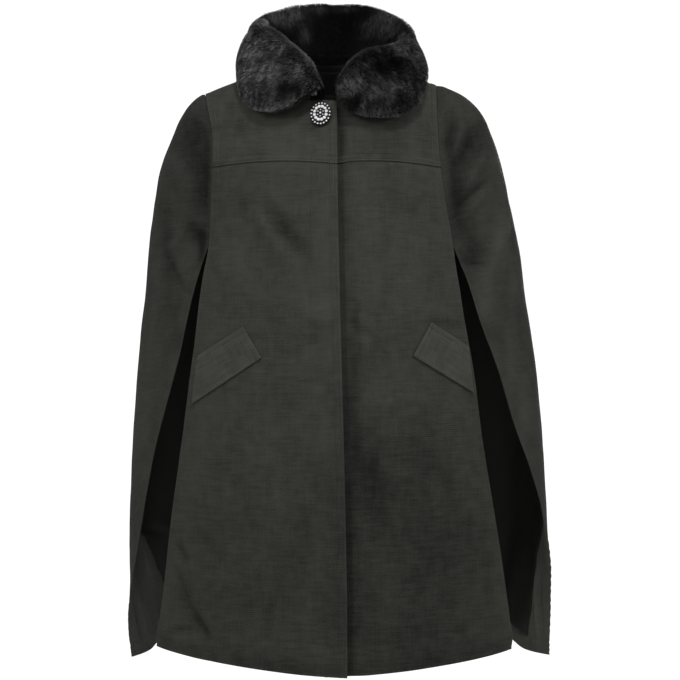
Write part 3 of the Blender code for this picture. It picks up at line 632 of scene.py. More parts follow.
def wool_finish(name, deep, light):
    """Brushed wool: a short nap in brushed patches over a fine weave that shows as ribs and slubs."""
    made, start = new_finish(name, {
        "Roughness": 0.90, "Specular IOR Level": 0.12, "Sheen Weight": 0.04, "Sheen Roughness": 0.6,
        "Sheen Tint": (0.62, 0.63, 0.58, 1.0)})
    marks = start.marks()
    u = marks.part(0)
    v = marks.part(1)
    # The third mark: edge wear with a painted edge highlight, nap, and painted shade and light
    tone = marks.part(2)
    patch = start.noise(u / 0.050, v / 0.090, 2.0)
    mottle = start.noise(u / 0.013, v / 0.018, 2.0, 5.0)
    slub = start.noise(u / 0.028, v / 0.0045, 2.0, 13.0)
    weft = start.noise(u / 0.036, v / 0.0013, 2.0, 3.0)
    warp = start.noise(u / 0.0015, v / 0.048, 2.0, 7.0)
    nap = start.noise(u / 0.0012, v / 0.0017, 3.0, 11.0)
    rib = (v * (2.0 * math.pi / 0.0028)).sine()
    ribbed = start.noise(u / 0.080, v / 0.060, 2.0, 17.0)
    shown = 0.5 + tone + 0.46 * (patch - 0.5) + 0.36 * (mottle - 0.5) + 0.34 * (slub - 0.5)
    shown = shown + 0.28 * (weft - 0.5) + 0.26 * (warp - 0.5)
    shown = shown + 0.75 * (nap - 0.5) + rib * (ribbed ** 4.0) * 0.30
    height = nap * 1.3 + weft * 0.5 + warp * 0.4 + mottle * 1.2 + slub * 0.7 + rib * (ribbed ** 4.0) * 0.8
    feed(made, {
        "Base Color": start.mix(shown, (*deep, 1.0), (*light, 1.0)),
        "Normal": height.bump(0.6, 0.0007),
    })
    return made


WOOL = wool_finish("wool", (0.0085, 0.0086, 0.0073), (0.0590, 0.0600, 0.0518))
FRONT_PLACES = spaced(
    near=(0.0, 0.7, 1.8, 3.4, 4.6, 5.5, 6.4, 8.0, 10.2, 11.4, 12.2, 13.0, 14.4, 17.0, 20.5, 24.5, 28.5, 32.0,
          34.5, 36.0, 37.2, 38.4, 39.6, 40.8, 42.0, 43.4, 45.5),
    far=(0.0, 0.7, 1.6, 3.0, 5.0, 7.0, 8.2, 9.2, 10.4, 12.5, 15.0), steps=40)
FRONT_DROPS = spaced(near=(-TURNING, -1.2, 0.0, 0.7, 1.6, 3.0, 5.0, 8.0, 12.0),
                     far=(0.0, 0.8, 2.0, 4.0, 7.0, 11.0, 16.0, 21.0, 26.0, 31.0, 35.0, 38.0, 40.0, 42.0, 45.0,
                          49.0), steps=138)
YOKE_DROPS = spaced(near=(0.0, 1.2, 3.0, 6.0),
                    far=(0.0, 0.7, 1.5, 2.2, 3.0, 4.4, 6.2, 7.8, 9.0, 10.2, 12.0, 15.0), steps=24)


def front_columns(side, z):
    """Places across a front at the heights z, one column for each spaced place."""
    start = closure_x(side, z)
    end = SIGN[side] * (EDGE[side](z) - SEAM / 2.0)
    return start + SIGN[side] * placed(FRONT_PLACES, SIGN[side] * (end - start))


def level_shares(side, z):
    """Shares across a front of its columns at one height."""
    return front_share(side, front_columns(side, np.array([[z]]))[0], z)


def front_places(side):
    """Places (x, z) of a front's grid from the yoke seam to the hem."""
    top = yoke_seam_z(level_shares(side, YOKE_SEAM)) - SEAM / 2.0
    hem = hem_z(side, level_shares(side, FRONT_HEM))
    z = top[None, :] - placed(upright(FRONT_DROPS), (top - hem)[None, :])
    return front_columns(side, z), z


def shoulder_point_x(side):
    """Where the side seam crosses the shoulder line."""
    x = 0.16
    for _ in range(12):
        x = float(EDGE[side](shoulder_z(x)))
    return x


def yoke_places(side):
    """Places (x, z) of a yoke's grid from the neckline and shoulder seam down to the yoke seam."""
    sign = SIGN[side]
    low_x = front_columns(side, np.array([[YOKE_SEAM]]))[0]
    share = front_share(side, low_x, YOKE_SEAM)
    start = math.asin(sign * float(closure_x(side, -NECK_DROP)) / NECK_HALF)
    tip = shoulder_point_x(side)
    neck_x = NECK_HALF * np.sin(start + (math.pi / 2.0 - start) * np.minimum(share / NECK_SHARE, 1.0))
    out = np.maximum(share - NECK_SHARE, 0.0) / (1.0 - NECK_SHARE)
    top_x = neck_x + out * (tip - NECK_HALF)
    neck_z = -NECK_DROP * np.sqrt(np.maximum(1.0 - (np.minimum(top_x, NECK_HALF) / NECK_HALF) ** 2, 0.0))
    top_z = np.where(share < NECK_SHARE, neck_z, shoulder_z(top_x))
    length = top_z - yoke_seam_z(share) - SEAM / 2.0
    drop = placed(upright(YOKE_DROPS), length[None, :])
    v = drop / length[None, :]
    z = top_z[None, :] - drop
    x = sign * top_x + v * (low_x - sign * top_x)
    straight = tip + v * (float(EDGE[side](YOKE_SEAM)) - tip)
    return x + sign * share ** 4 * (EDGE[side](z) - SEAM / 2.0 - straight), z


for side in SIGN:
    for part, places in (("yoke", yoke_places(side)), ("front", front_places(side))):
        grid, out = front_frame(side, *places)
        height = front_relief(side, *places)
        if part == "front":
            turned = places[1] - yoke_seam_z(front_share(side, *places))
            height -= TUCK * ease(0.0002, 0.0012, turned)
        # Patches of nap and painted shade, painted shade and light on the creases, and painted shade on the
        # hem and beside the lap
        tone = nap_and_shade_tone(FRONT_NAP_AND_SHADE, *places) + CREASE_PAINTED_SHADE * creased(FRONT_CREASES, *places)
        tone += shade_tone(side, *places)
        grain = (places[0] + SIGN[side], -places[1])
        piece = add_cloth(part + "_" + side + "_cloth", grid, out, height, CLOTH, WOOL, tone, grain=grain)
        rests_on = ["collar" if part == "yoke" else "yoke_" + side]
        dress(part + "_" + side, grid, rests_on)

# Side panels. One wide piece of the same wool round each arm, sewn to the front above the slit and to the
# back all the way down; below the slit its front edge hangs open and shows the turned-in facing.
SIDE_HEM = -0.845
CORE_HEM = 0.190
BACK_FALLOFF = 0.10
ARM_DEPTH_HEM = 0.085
FLARE_DEPTH = {"right": 0.012, "left": 0.020}
FLARE_REACH = 0.30
FLARE_TOP = -0.620
TIP_REACH = 0.005
TIP_SHARE = 0.14
FIRST_DROP = 0.014

# Small scallops that the stitches pull along the slit edge
SCALLOP = 0.0073
SCALLOP_TOP = -0.676
SCALLOP_RISE = {"right": 0.0002, "left": 0.0006}
SCALLOP_FADE = 0.004

# Swells of the cloth, the hollow beside the armhole seam, and the dips at the back seam and the hem
SIDE_SWELLS = (Swell(0.0008, 0.055, 21), Swell(0.00025, 0.020, 22))
SLEEVE_HOLLOW = 0.0034
SLEEVE_HOLLOW_REACH = 0.010
ARMHOLE_DIP = 0.0006
ARMHOLE_DIP_REACH = 0.0045
ARMHOLE_FLAT = 0.006
ARMHOLE_FROM_TO = (-0.055, -0.100)
BACK_SEAM_DIP = 0.0009
BACK_SEAM_REACH = 0.0024
SEAM_EASE = 0.010
FACING_TURN = 1.6
FACING_OVERLAP = 0.10
SIDE_HEM_REACH = 0.003
HEM_DROPS = (0.0, 0.8, 2.0, 4.0, 7.0, 11.0, 15.0, 18.0, 20.0, 22.0, 24.0, 27.0, 31.0)

# A darker copy of the same wool, as painted shade on the side panels
SHADED_SIDE_WOOL = wool_finish("side_wool", (0.0060, 0.0061, 0.0053), (0.0470, 0.0478, 0.0413))

# How far round each side panel its slit edge has opened, in degrees from straight out at the side
Turn = namedtuple("Turn", "z right left")
TURNS = (
    Turn(-0.262, -90.0, -90.0),
    Turn(-0.310, -81.0, -80.0),
    Turn(-0.365, -74.0, -72.0),
    Turn(-0.420, -68.0, -62.5),
    Turn(-0.530, -52.0, -46.0),
    Turn(-0.640, -38.0, -19.0),
    Turn(-0.750, -20.0, 6.0),
    Turn(-0.845, 8.0, 14.0),
)
TURN = {side: through(TURNS, side) for side in SIGN}
OUT = {side: through(LEVELS, side + "_out") for side in SIGN}
BACK_DEPTH = through(DEPTHS, "back")

# Broad folds, across as shares of the way from slit to back seam, and on the back of the half width
SIDE_FOLDS = {
    "right": (
        Fold(0.46, -0.110, 0.14, -0.285, 0.0060, 0.090),
        Fold(0.32, -0.230, 0.20, -0.420, -0.0050, 0.080),
        Fold(0.62, -0.360, 0.55, -1.000, 0.0080, 0.110),
    ),
    "left": (
        Fold(0.40, -0.090, 0.12, -0.225, 0.0060, 0.080),
        Fold(0.48, -0.170, 0.16, -0.300, -0.0055, 0.080),
        Fold(0.66, -0.360, 0.60, -1.000, 0.0080, 0.110),
    ),
}
BACK_FOLDS = (
    Fold(-0.62, -0.300, -0.70, -1.050, 0.0090, 0.170),
    Fold(-0.16, -0.360, -0.22, -1.050, 0.0100, 0.190),
    Fold(0.20, -0.320, 0.30, -1.050, 0.0090, 0.180),
    Fold(0.60, -0.300, 0.74, -1.050, 0.0085, 0.160),
)
SIDE_CREASES = {
    "right": (
        Crease(-0.227, -0.120, -0.175, -0.216, 0.0095, 0.014, 0.35),
        Crease(-0.191, -0.073, -0.177, -0.196, -0.0050, 0.012, 0.0),
        Crease(-0.202, -0.230, -0.174, -0.260, -0.0080, 0.008, 0.0),
        Crease(-0.227, -0.274, -0.200, -0.330, -0.0085, 0.007, 0.6),
        Crease(-0.227, -0.272, -0.205, -0.241, 0.0042, 0.006, 0.0),
        Crease(-0.241, -0.214, -0.217, -0.217, -0.0035, 0.004, 0.0),
        Crease(-0.219, -0.336, -0.213, -0.420, -0.0030, 0.006, 0.0),
        Crease(-0.246, -0.224, -0.240, -0.330, 0.0034, 0.010, 0.3),
        Crease(-0.262, -0.420, -0.268, -0.620, 0.0042, 0.012, 0.3),
        Crease(-0.250, -0.300, -0.262, -0.420, -0.0032, 0.010, 0.2),
    ),
    "left": (
        Crease(0.176, -0.073, 0.155, -0.134, -0.0060, 0.006, 0.0),
        Crease(0.187, -0.081, 0.161, -0.151, 0.0068, 0.007, 0.0),
        Crease(0.199, -0.095, 0.164, -0.176, -0.0075, 0.008, 0.0),
        Crease(0.217, -0.126, 0.182, -0.185, 0.0070, 0.008, 0.0),
        Crease(0.224, -0.162, 0.165, -0.218, -0.0072, 0.005, 0.0),
        Crease(0.213, -0.190, 0.172, -0.232, 0.0040, 0.006, 0.0),
        Crease(0.182, -0.227, 0.201, -0.291, -0.0066, 0.014, 0.0),
        Crease(0.245, -0.203, 0.207, -0.322, 0.0070, 0.012, -0.5),
        Crease(0.173, -0.288, 0.217, -0.288, -0.0040, 0.004, 0.0),
        Crease(0.262, -0.240, 0.250, -0.360, 0.0034, 0.012, -0.3),
        Crease(0.272, -0.380, 0.284, -0.560, 0.0042, 0.012, -0.3),
        Crease(0.254, -0.330, 0.270, -0.430, -0.0032, 0.010, 0.2),
    ),
}
# Painted shade beside the armhole seams, at the slit tops and in the creases, and painted light on the ridges
SIDE_PAINTED_SHADE_AND_LIGHT = {
    "right": (
        NapAndShade(-0.192, -0.140, 0.018, 0.050, -0.26),
        NapAndShade(-0.174, -0.165, 0.006, 0.060, -0.45),
        NapAndShade(-0.200, -0.092, 0.030, 0.026, -0.22),
        NapAndShade(-0.187, -0.192, 0.010, 0.028, -0.22),
        NapAndShade(-0.185, -0.247, 0.012, 0.012, -0.30),
        NapAndShade(-0.180, -0.264, 0.005, 0.020, -0.60),
        NapAndShade(-0.230, -0.264, 0.010, 0.060, -0.20),
        NapAndShade(-0.204, -0.283, 0.012, 0.020, 0.16),
        NapAndShade(-0.222, -0.110, 0.030, 0.040, -0.14),
        NapAndShade(-0.235, -0.210, 0.020, 0.060, -0.08),
        NapAndShade(-0.258, -0.440, 0.024, 0.140, 0.13),
    ),
    "left": (
        NapAndShade(0.166, -0.125, 0.010, 0.045, -0.26),
        NapAndShade(0.174, -0.202, 0.012, 0.045, -0.44),
        NapAndShade(0.194, -0.278, 0.018, 0.020, -0.28),
        NapAndShade(0.203, -0.110, 0.030, 0.042, -0.30),
        NapAndShade(0.215, -0.324, 0.014, 0.036, 0.38),
        NapAndShade(0.250, -0.425, 0.010, 0.045, 0.22),
        NapAndShade(0.264, -0.500, 0.009, 0.045, 0.22),
        NapAndShade(0.253, -0.215, 0.008, 0.050, -0.32),
        NapAndShade(0.268, -0.305, 0.008, 0.060, -0.26),
        NapAndShade(0.281, -0.415, 0.008, 0.080, -0.24),
    ),
}

# The turned-in facing, by distance round from the slit edge and height: its painted light, creases and
# patches
# Painted light over each facing, different from side to side
FACING_PAINTED_LIGHT = {"right": 0.26, "left": 0.74}
# Painted shade in the facing creases' troughs and painted light on their ridges
FACING_CREASE_PAINTED_SHADE = 3.0 * CREASE_PAINTED_SHADE
FACING_CREASES = {
    "right": (
        Crease(0.0240, -0.735, 0.0400, -0.828, -0.0040, 0.0045, 0.0),
        Crease(0.0480, -0.742, 0.0560, -0.826, 0.0030, 0.0070, 0.0),
        Crease(0.0900, -0.760, 0.0860, -0.822, -0.0022, 0.0060, 0.0),
        Crease(0.1150, -0.690, 0.1300, -0.765, 0.0032, 0.0100, 0.0),
    ),
    "left": (
        Crease(0.0500, -0.698, 0.0190, -0.836, 0.0042, 0.0032, 0.0),
        Crease(0.0340, -0.720, 0.0080, -0.830, -0.0020, 0.0040, 0.0),
        Crease(0.0560, -0.810, 0.0350, -0.842, -0.0020, 0.0060, 0.0),
    ),
}
# Patches of painted shade and light on the facing
FACING_PAINTED_SHADE_AND_LIGHT = {
    "right": (
        NapAndShade(0.055, -0.712, 0.024, 0.036, -0.30),
        NapAndShade(0.120, -0.735, 0.022, 0.040, 0.16),
        NapAndShade(0.060, -0.838, 0.060, 0.008, -0.12),
    ),
    "left": (
        NapAndShade(0.010, -0.700, 0.016, 0.030, -0.16),
        NapAndShade(0.030, -0.838, 0.040, 0.008, -0.14),
    ),
}

# How far and where the hem rises between the slit and the back seam
HEM_ARCH = 0.018
ARCH_FROM_SLIT = 0.108
ARCH_REACH = 0.036
ARCH_HIGH = 0.110
BACK_CREASES = (
    Crease(-0.228, -0.150, -0.168, -0.246, -0.0045, 0.011, 0.3),
    Crease(0.226, -0.140, 0.166, -0.232, -0.0048, 0.011, -0.3),
    Crease(-0.214, -0.180, -0.170, -0.300, 0.0036, 0.013, 0.3),
    Crease(0.220, -0.190, 0.172, -0.290, 0.0034, 0.012, -0.3),
    Crease(-0.150, -0.170, -0.110, -0.260, -0.0028, 0.012, 0.2),
    Crease(0.148, -0.180, 0.104, -0.280, -0.0031, 0.012, -0.2),
    Crease(-0.090, -0.110, -0.060, -0.190, 0.0022, 0.014, 0.0),
    Crease(0.070, -0.105, 0.052, -0.200, 0.0020, 0.014, 0.0),
    Crease(-0.120, -0.560, -0.150, -0.760, -0.0031, 0.014, 0.2),
    Crease(0.050, -0.600, 0.074, -0.800, -0.0028, 0.015, 0.2),
    Crease(0.140, -0.480, 0.154, -0.660, 0.0025, 0.014, 0.0),
    Crease(-0.010, -0.380, -0.026, -0.560, 0.0022, 0.016, 0.0),
    Crease(0.248, -0.420, 0.262, -0.640, 0.0031, 0.014, 0.3),
    Crease(-0.244, -0.400, -0.256, -0.600, 0.0031, 0.014, -0.3),
)


def core_x(side, z):
    """Half width of the back, where the side panel is joined to it."""
    top = EDGE[side](np.array(SLIT_TOP))
    below = top + (SLIT_TOP - z) / (SLIT_TOP - SIDE_HEM) * (CORE_HEM - top)
    return np.where(z >= SLIT_TOP, EDGE[side](z), below)


def back_y(x, z):
    """Outer face of the back, nearly flat across and rounding over to the shoulder line."""
    share = x / np.where(x > 0.0, core_x("left", z), core_x("right", z))
    level = BACK_DEPTH(z) * (1.0 - BACK_FALLOFF * share * share) * dome(x, z)
    return level + folded(BACK_FOLDS, share, z) * (1.0 - share ** 4) + SEAM / 2.0


def side_points(side, z, share):
    """Outer face of a side panel: share runs from its front edge round the arm to the back seam."""
    sign = SIGN[side]
    core = core_x(side, z)
    hanging = z < SLIT_TOP
    turn = np.where(hanging, TURN[side](z), -90.0)
    top = np.array(SLIT_TOP)
    top_depth = -front_y(sign * core_x(side, top), top)
    down = np.clip((SLIT_TOP - z) / (SLIT_TOP - SIDE_HEM), 0.0, 1.0)
    edge_depth = np.where(hanging, top_depth + down * (ARM_DEPTH_HEM - top_depth), -front_y(sign * core, z))
    around = np.radians(turn + (90.0 - turn) * share)
    flare = FLARE_DEPTH[side] * ease(FLARE_TOP, SIDE_HEM, z)
    reach = np.maximum(OUT[side](z) - core, TIP_REACH) / np.cos(np.radians(np.maximum(turn, 0.0))) - flare
    flare *= np.maximum(1.0 - share / FLARE_REACH, 0.0) ** 2
    depth = np.where(around < 0.0, edge_depth, back_y(sign * core, z))
    lift = folded(SIDE_FOLDS[side], share, z) * np.sin(math.pi * share)
    x = core + SEAM / 2.0 + (reach + lift + flare) * np.cos(around)
    return np.stack(np.broadcast_arrays(sign * x, (depth + lift) * np.sin(around), z), axis=-1)


def grid_directions(grid, outward):
    """Outward directions of a grid of points."""
    out = np.cross(np.gradient(grid, axis=1), np.gradient(grid, axis=0))
    out /= np.maximum(np.linalg.norm(out, axis=-1, keepdims=True), 1e-12)
    middle = out[out.shape[0] // 2, out.shape[1] // 2]
    return out if np.dot(middle, outward) > 0.0 else -out


SIDE_PLACES = spaced(near=(0.0, 0.4, 0.8, 1.3, 2.0, 3.2, 5.0, 7.5, 10.0, 13.0),
                     far=(-TURNING, -1.2, 0.0, 0.8, 1.8, 3.2, 5.5, 9.0), steps=62)
SEWN_SHIFT = np.array((-TURNING, -1.6, -0.8, -0.5)) / 1000.0
SIDE_DROPS = spaced(near=(0.0, 1.2, 2.6, 4.4, 6.6, 9.2, 12.0, 15.0, 18.5, 22.0), far=HEM_DROPS, steps=168)


def side_grid(side):
    """Fine grid of a side panel, with a small crown at the shoulder tip."""
    tip_x = shoulder_point_x(side)
    tip_z = float(shoulder_z(tip_x))
    first = tip_z + FIRST_DROP * (YOKE_SEAM - tip_z)
    levels = first - placed(SIDE_DROPS, first - SIDE_HEM)
    dense = np.linspace(-0.25, 1.12, 331)
    grid = []
    for z in levels:
        along = arc_lengths(side_points(side, z, dense), 0)
        start, end = np.interp((0.0, 1.0), dense, along)
        place = placed(SIDE_PLACES, end - start)
        place[:4] += SEWN_SHIFT * ease(SLIT_TOP, SLIT_TOP + 0.012, z) * min(1.0, (end - start) / 0.03)
        lift = HEM_ARCH * bell(place - ARCH_FROM_SLIT, ARCH_REACH) * ease(SIDE_HEM + ARCH_HIGH, SIDE_HEM, z)
        grid.append(side_points(side, z + lift, np.interp(start + place, along, dense)))
    tip = np.array([SIGN[side] * (tip_x + SEAM / 2.0), 0.0, tip_z])
    crown = tip + TIP_SHARE * (grid[0] - tip)
    return np.array([crown] + grid)


def facing_sides(out):
    """How much each place on a side panel belongs to the front of the coat, and how much to its back."""
    toward = -FACING_TURN * out[..., 1]
    return np.clip(FACING_OVERLAP + toward, 0.0, 1.0), np.clip(FACING_OVERLAP - toward, 0.0, 1.0)


def side_relief(side, grid, out):
    """Height of everything sewn or creased into a side panel above its smooth form."""
    x, z = grid[..., 0], grid[..., 2]
    along = arc_lengths(grid, 1)
    sewn = ease(SLIT_TOP - 0.004, SLIT_TOP + 0.004, z)
    from_edge = along - sewn * along[:, 2:3]
    to_back = along[:, -3:-2] - along
    across = np.maximum(from_edge, 0.0)
    toward, away = facing_sides(out)
    height = toward * creased(SIDE_CREASES[side], x, z) + away * creased(BACK_CREASES, x, z)
    height += swelling(SIDE_SWELLS, across, z)
    height = height * np.clip(to_back / SEAM_EASE, 0.0, 1.0) * (1.0 - sewn * np.exp(-across / ARMHOLE_FLAT))
    share = across / SLEEVE_HOLLOW_REACH
    hollow = ARMHOLE_DIP * bell(across, ARMHOLE_DIP_REACH) + SLEEVE_HOLLOW * share * np.exp(1.0 - share)
    height -= sewn * hollow * ease(*ARMHOLE_FROM_TO, z)
    height -= creased(FACING_CREASES[side], across, z) * (1.0 - sewn)
    height -= TUCK * (ease(0.0002, -0.0010, from_edge) * sewn + ease(0.0002, -0.0010, to_back))
    height -= BACK_SEAM_DIP * bell(to_back, BACK_SEAM_REACH)
    height -= HEM_DENT * bell(z - SIDE_HEM - HEM_TURN / 2.0, SIDE_HEM_REACH)
    scallop = ease(SCALLOP_TOP + 0.02, SCALLOP_TOP, z) * np.exp(-across / SCALLOP_FADE)
    return height + SCALLOP_RISE[side] * scallop * np.sin(2.0 * math.pi * z / SCALLOP)


SIDE_GRIDS = {}
for side in SIGN:
    grid = side_grid(side)
    out = grid_directions(grid, (SIGN[side], 0.0, 0.0))
    height = side_relief(side, grid, out)
    x, z = grid[..., 0], grid[..., 2]
    toward, away = facing_sides(out)
    # Painted shade and light on the side panel's outer face, from its patches and creases
    tone = toward * (nap_and_shade_tone(SIDE_PAINTED_SHADE_AND_LIGHT[side], x, z) + CREASE_PAINTED_SHADE * creased(SIDE_CREASES[side], x, z))
    tone += away * CREASE_PAINTED_SHADE * creased(BACK_CREASES, x, z)
    along = arc_lengths(grid, 1)
    # The facing inside is painted lighter, with painted shade and light from its patches and creases
    inside = FACING_PAINTED_LIGHT[side] + nap_and_shade_tone(FACING_PAINTED_SHADE_AND_LIGHT[side], along, z)
    inside += FACING_CREASE_PAINTED_SHADE * creased(FACING_CREASES[side], along, z)
    piece = add_cloth("cape_side_" + side + "_cloth", grid, out, height, CLOTH, SHADED_SIDE_WOOL, tone, inside)
    dress("cape_side_" + side, grid, ["yoke_" + side, "back"])
    SIDE_GRIDS[side] = (grid[:, 2:-2], out[:, 2:-2], height[:, 2:-2])

# Back. One piece of the same wool from the neck to the hem, hanging in a few broad folds and sewn to the side
# panels with plain pressed seams.
NECK_BACK = 0.006
BACK_NECK_SHARE = 6.0 / 9.0
# Painted shadow blackening the top of the back under the collar, and patches of nap
BACK_NAP_AND_SHADE = (
    NapAndShade(0.000, 0.000, 0.075, 0.022, -1.20),
    NapAndShade(-0.060, -0.360, 0.060, 0.090, 0.07),
    NapAndShade(0.090, -0.560, 0.070, 0.110, -0.10),
    NapAndShade(-0.120, -0.660, 0.080, 0.090, -0.09),
    NapAndShade(0.040, -0.230, 0.050, 0.050, -0.07),
)
BACK_SWELLS = (Swell(0.0008, 0.060, 31), Swell(0.00025, 0.020, 32))
SEAM_PLACES = (0.0, 0.8, 1.8, 3.2, 5.5, 9.0)
BACK_PLACES = spaced(near=SEAM_PLACES, far=SEAM_PLACES, steps=76)
BACK_DROPS = spaced(near=(0.0, 1.4, 3.2, 6.0), far=HEM_DROPS, steps=172)


def back_grid():
    """Fine grid of the back, from the wearer's right to the left."""
    place = placed(BACK_PLACES, np.array([2.0 * CORE_HEM]))
    across = place / CORE_HEM - 1.0
    columns = []
    for s in across:
        side = "right" if s < 0.0 else "left"
        size = abs(s)
        tip = shoulder_point_x(side)
        if size < BACK_NECK_SHARE:
            angle = math.pi / 2.0 * size / BACK_NECK_SHARE
            top_x = NECK_HALF * math.sin(angle)
            top_z = NECK_BACK * math.cos(angle)
        else:
            top_x = NECK_HALF + (size - BACK_NECK_SHARE) / (1.0 - BACK_NECK_SHARE) * (tip - NECK_HALF)
            top_z = float(shoulder_z(top_x))
        z = top_z - placed(BACK_DROPS, top_z - SIDE_HEM)
        v = np.clip((top_z - z) / (top_z - YOKE_SEAM), 0.0, 1.0)
        tip_z = float(shoulder_z(tip))
        level = np.where(v < 1.0, tip_z + v * (YOKE_SEAM - tip_z), z)
        edge = core_x(side, level)
        straight = tip + ease(0.0, 1.0, v) * (edge - tip)
        x = top_x + ease(0.0, 1.0, v) * (size * edge - top_x)
        x = SIGN[side] * (x + size ** 6 * (core_x(side, z) - SEAM / 2.0 - straight))
        columns.append(np.stack([x, back_y(x, z), z], axis=-1))
    return np.array(columns).transpose(1, 0, 2)


def back_relief(grid):
    """Height of the creases, seams and hem of the back above its smooth form."""
    x, z = grid[..., 0], grid[..., 2]
    across = arc_lengths(grid, 1)
    to_seam = np.minimum(across, across[:, -1:] - across)
    height = creased(BACK_CREASES, x, z) + swelling(BACK_SWELLS, x, z)
    height *= np.clip(to_seam / SEAM_EASE, 0.0, 1.0)
    height -= BACK_SEAM_DIP * bell(to_seam, BACK_SEAM_REACH)
    return height - HEM_DENT * bell(z - SIDE_HEM - HEM_TURN / 2.0, SIDE_HEM_REACH)


back = back_grid()
back_out = grid_directions(back, (0.0, 1.0, 0.0))
back_height = back_relief(back)
x, z = back[..., 0], back[..., 2]
# Painted shadow, nap, and painted shade and light on the creases
tone = nap_and_shade_tone(BACK_NAP_AND_SHADE, x, z) + CREASE_PAINTED_SHADE * creased(BACK_CREASES, x, z)
piece = add_cloth("back_cloth", back, back_out, back_height, CLOTH, WOOL, tone, grain=(x + 1.0, -z))
dress("back", back, ["collar"])

# Lining. Smooth black twill sewn inside the side panels and the back; it stops short of the hems and of the
# facings along the slits, and lies in soft folds of its own.
LINING_CLOTH = 0.0010
LINING_EASE = 0.0004
LINING_TOP = -0.075
LINING_HEM = {"right": -0.758, "left": -0.823}

# How far from the slit edge the lining is sewn to the facing, by height
Facing = namedtuple("Facing", "z right left")
FACINGS = (
    Facing(-0.262, 0.036, 0.036),
    Facing(-0.640, 0.036, 0.036),
    Facing(-0.664, 0.060, 0.041),
    Facing(-0.680, 0.126, 0.046),
    Facing(-0.705, 0.140, 0.053),
    Facing(-0.742, 0.150, 0.047),
    Facing(-0.782, 0.152, 0.041),
    Facing(-0.845, 0.152, 0.048),
)

# Painted light that makes the lining paler towards the arms, and between which heights that comes in
LINING_PAINTED_LIGHT = 2.6
PAINTED_LIGHT_FROM_TO = (-0.720, -0.370)
SMALL_SAG = 0.0011
LARGE_SAG = 0.0022
SAG_EASE = 0.012


def lining_finish():
    """Black lining twill with a soft shine."""
    made, start = new_finish("lining", {"Specular IOR Level": 0.18})
    marks = start.marks()
    u = marks.part(0)
    v = marks.part(1)
    twill = ((u + v) * (2.0 * math.pi / 0.0011)).sine()
    cloud = start.noise(u / 0.045, v / 0.120, 2.0)
    # The third mark holds the painted light towards the arms and the paler edges with their painted highlight
    feed(made, {
        "Base Color": start.mix(cloud + marks.part(2),
                                (0.0039, 0.0039, 0.0035, 1.0), (0.0084, 0.0084, 0.0075, 1.0)),
        "Roughness": 0.52 + 0.16 * cloud,
        "Normal": (twill * 0.25 + cloud * 2.0).bump(0.35, 0.0006),
    })
    return made


LINING = lining_finish()


def add_lining(name, grid, out, height):
    """Lining sheet on the inside of a panel's own grid, lying in soft folds away from it."""
    z = grid[..., 2]
    across = arc_lengths(grid, 1)
    sag = SMALL_SAG * (0.5 + 0.5 * rumpled(across, z * 0.35, 0.022, 41))
    sag += LARGE_SAG * np.clip(rumpled(across, z * 0.2, 0.048, 42), 0.0, 1.0)
    sag *= np.clip(np.minimum(across, across[:, -1:] - across) / SAG_EASE, 0.0, 1.0)
    inside = height - CLOTH - SEAM - LINING_EASE - sag
    painted_light = LINING_PAINTED_LIGHT * ease(*PAINTED_LIGHT_FROM_TO, z)
    piece = add_cloth(name + "_cloth", grid, out, inside, LINING_CLOTH, LINING, painted_light)
    dress(name, grid, [name.replace("lining", "cape") if "side" in name else "back"])


def lined_rows(grid, hem):
    """Every second row of a panel between the lining's top and its hem, and the last one there."""
    rows = [k for k in range(len(grid)) if hem < grid[k, 0, 2] < LINING_TOP]
    return sorted({*rows[::2], rows[-1]})


def picked(places, along, values):
    """Values at places along a line, drawn straight between the line's points."""
    return np.stack([np.interp(places, along, column) for column in values.T], axis=-1)


dense = np.linspace(0.0, 1.0, 44)
for side in SIGN:
    grid, out, height = SIDE_GRIDS[side]
    widths = [getattr(row, side) for row in FACINGS]
    lined = []
    for k in lined_rows(grid, LINING_HEM[side]):
        along = arc_lengths(grid[k], 0)
        start = min(np.interp(-grid[k, 0, 2], [-row.z for row in FACINGS], widths), 0.75 * along[-1])
        places = start + (along[-1] - 0.001 - start) * dense
        lined.append(picked(places, along, np.concatenate([grid[k], out[k], height[k][:, None]], axis=1)))
    lined = np.array(lined)
    lining_out = lined[..., 3:6] / np.linalg.norm(lined[..., 3:6], axis=-1, keepdims=True)
    add_lining("lining_side_" + side, lined[..., :3], lining_out, lined[..., 6])
pick = np.ix_(lined_rows(back, LINING_HEM["left"]), np.arange(1, back.shape[1] - 1, 2))
add_lining("lining_back", back[pick], back_out[pick], back_height[pick])

# Pocket welts. Slanting double-thickness strips of the same wool over the pocket mouths, pressed flat and
# stitched down along the top and the inner end, with a bar of close stitches at the low inner corner.
Welt = namedtuple("Welt", "top_inner low_inner low_outer top_outer")
WELTS = {
    "right": Welt((-0.1204, -0.3743), (-0.0949, -0.4164), (-0.1920, -0.4810), (-0.1840, -0.4140)),
    "left": Welt((0.1352, -0.3681), (0.1096, -0.4138), (0.1940, -0.4650), (0.1870, -0.4010)),
}
WELT_CLOTH = 0.0026
WELT_LIFT = 0.0005
WELT_STITCH = 0.0075
WELT_GROOVE = 0.0013
WELT_DENT = 0.0008
WELT_SWELL = 0.0012
WELT_PLACES = np.array((0.0, 0.7, 1.8, 3.5, 5.5, 6.6, 7.5, 8.4, 9.6, 12.0)) / 1000.0
WELT_LENGTH = 0.088
WELT_DEPTH = 0.050
# A paler copy of the same wool, as painted light on the welts
LIT_WELT_WOOL = wool_finish("welt_wool_painted_light", (0.0120, 0.0122, 0.0106), (0.0780, 0.0793, 0.0685))


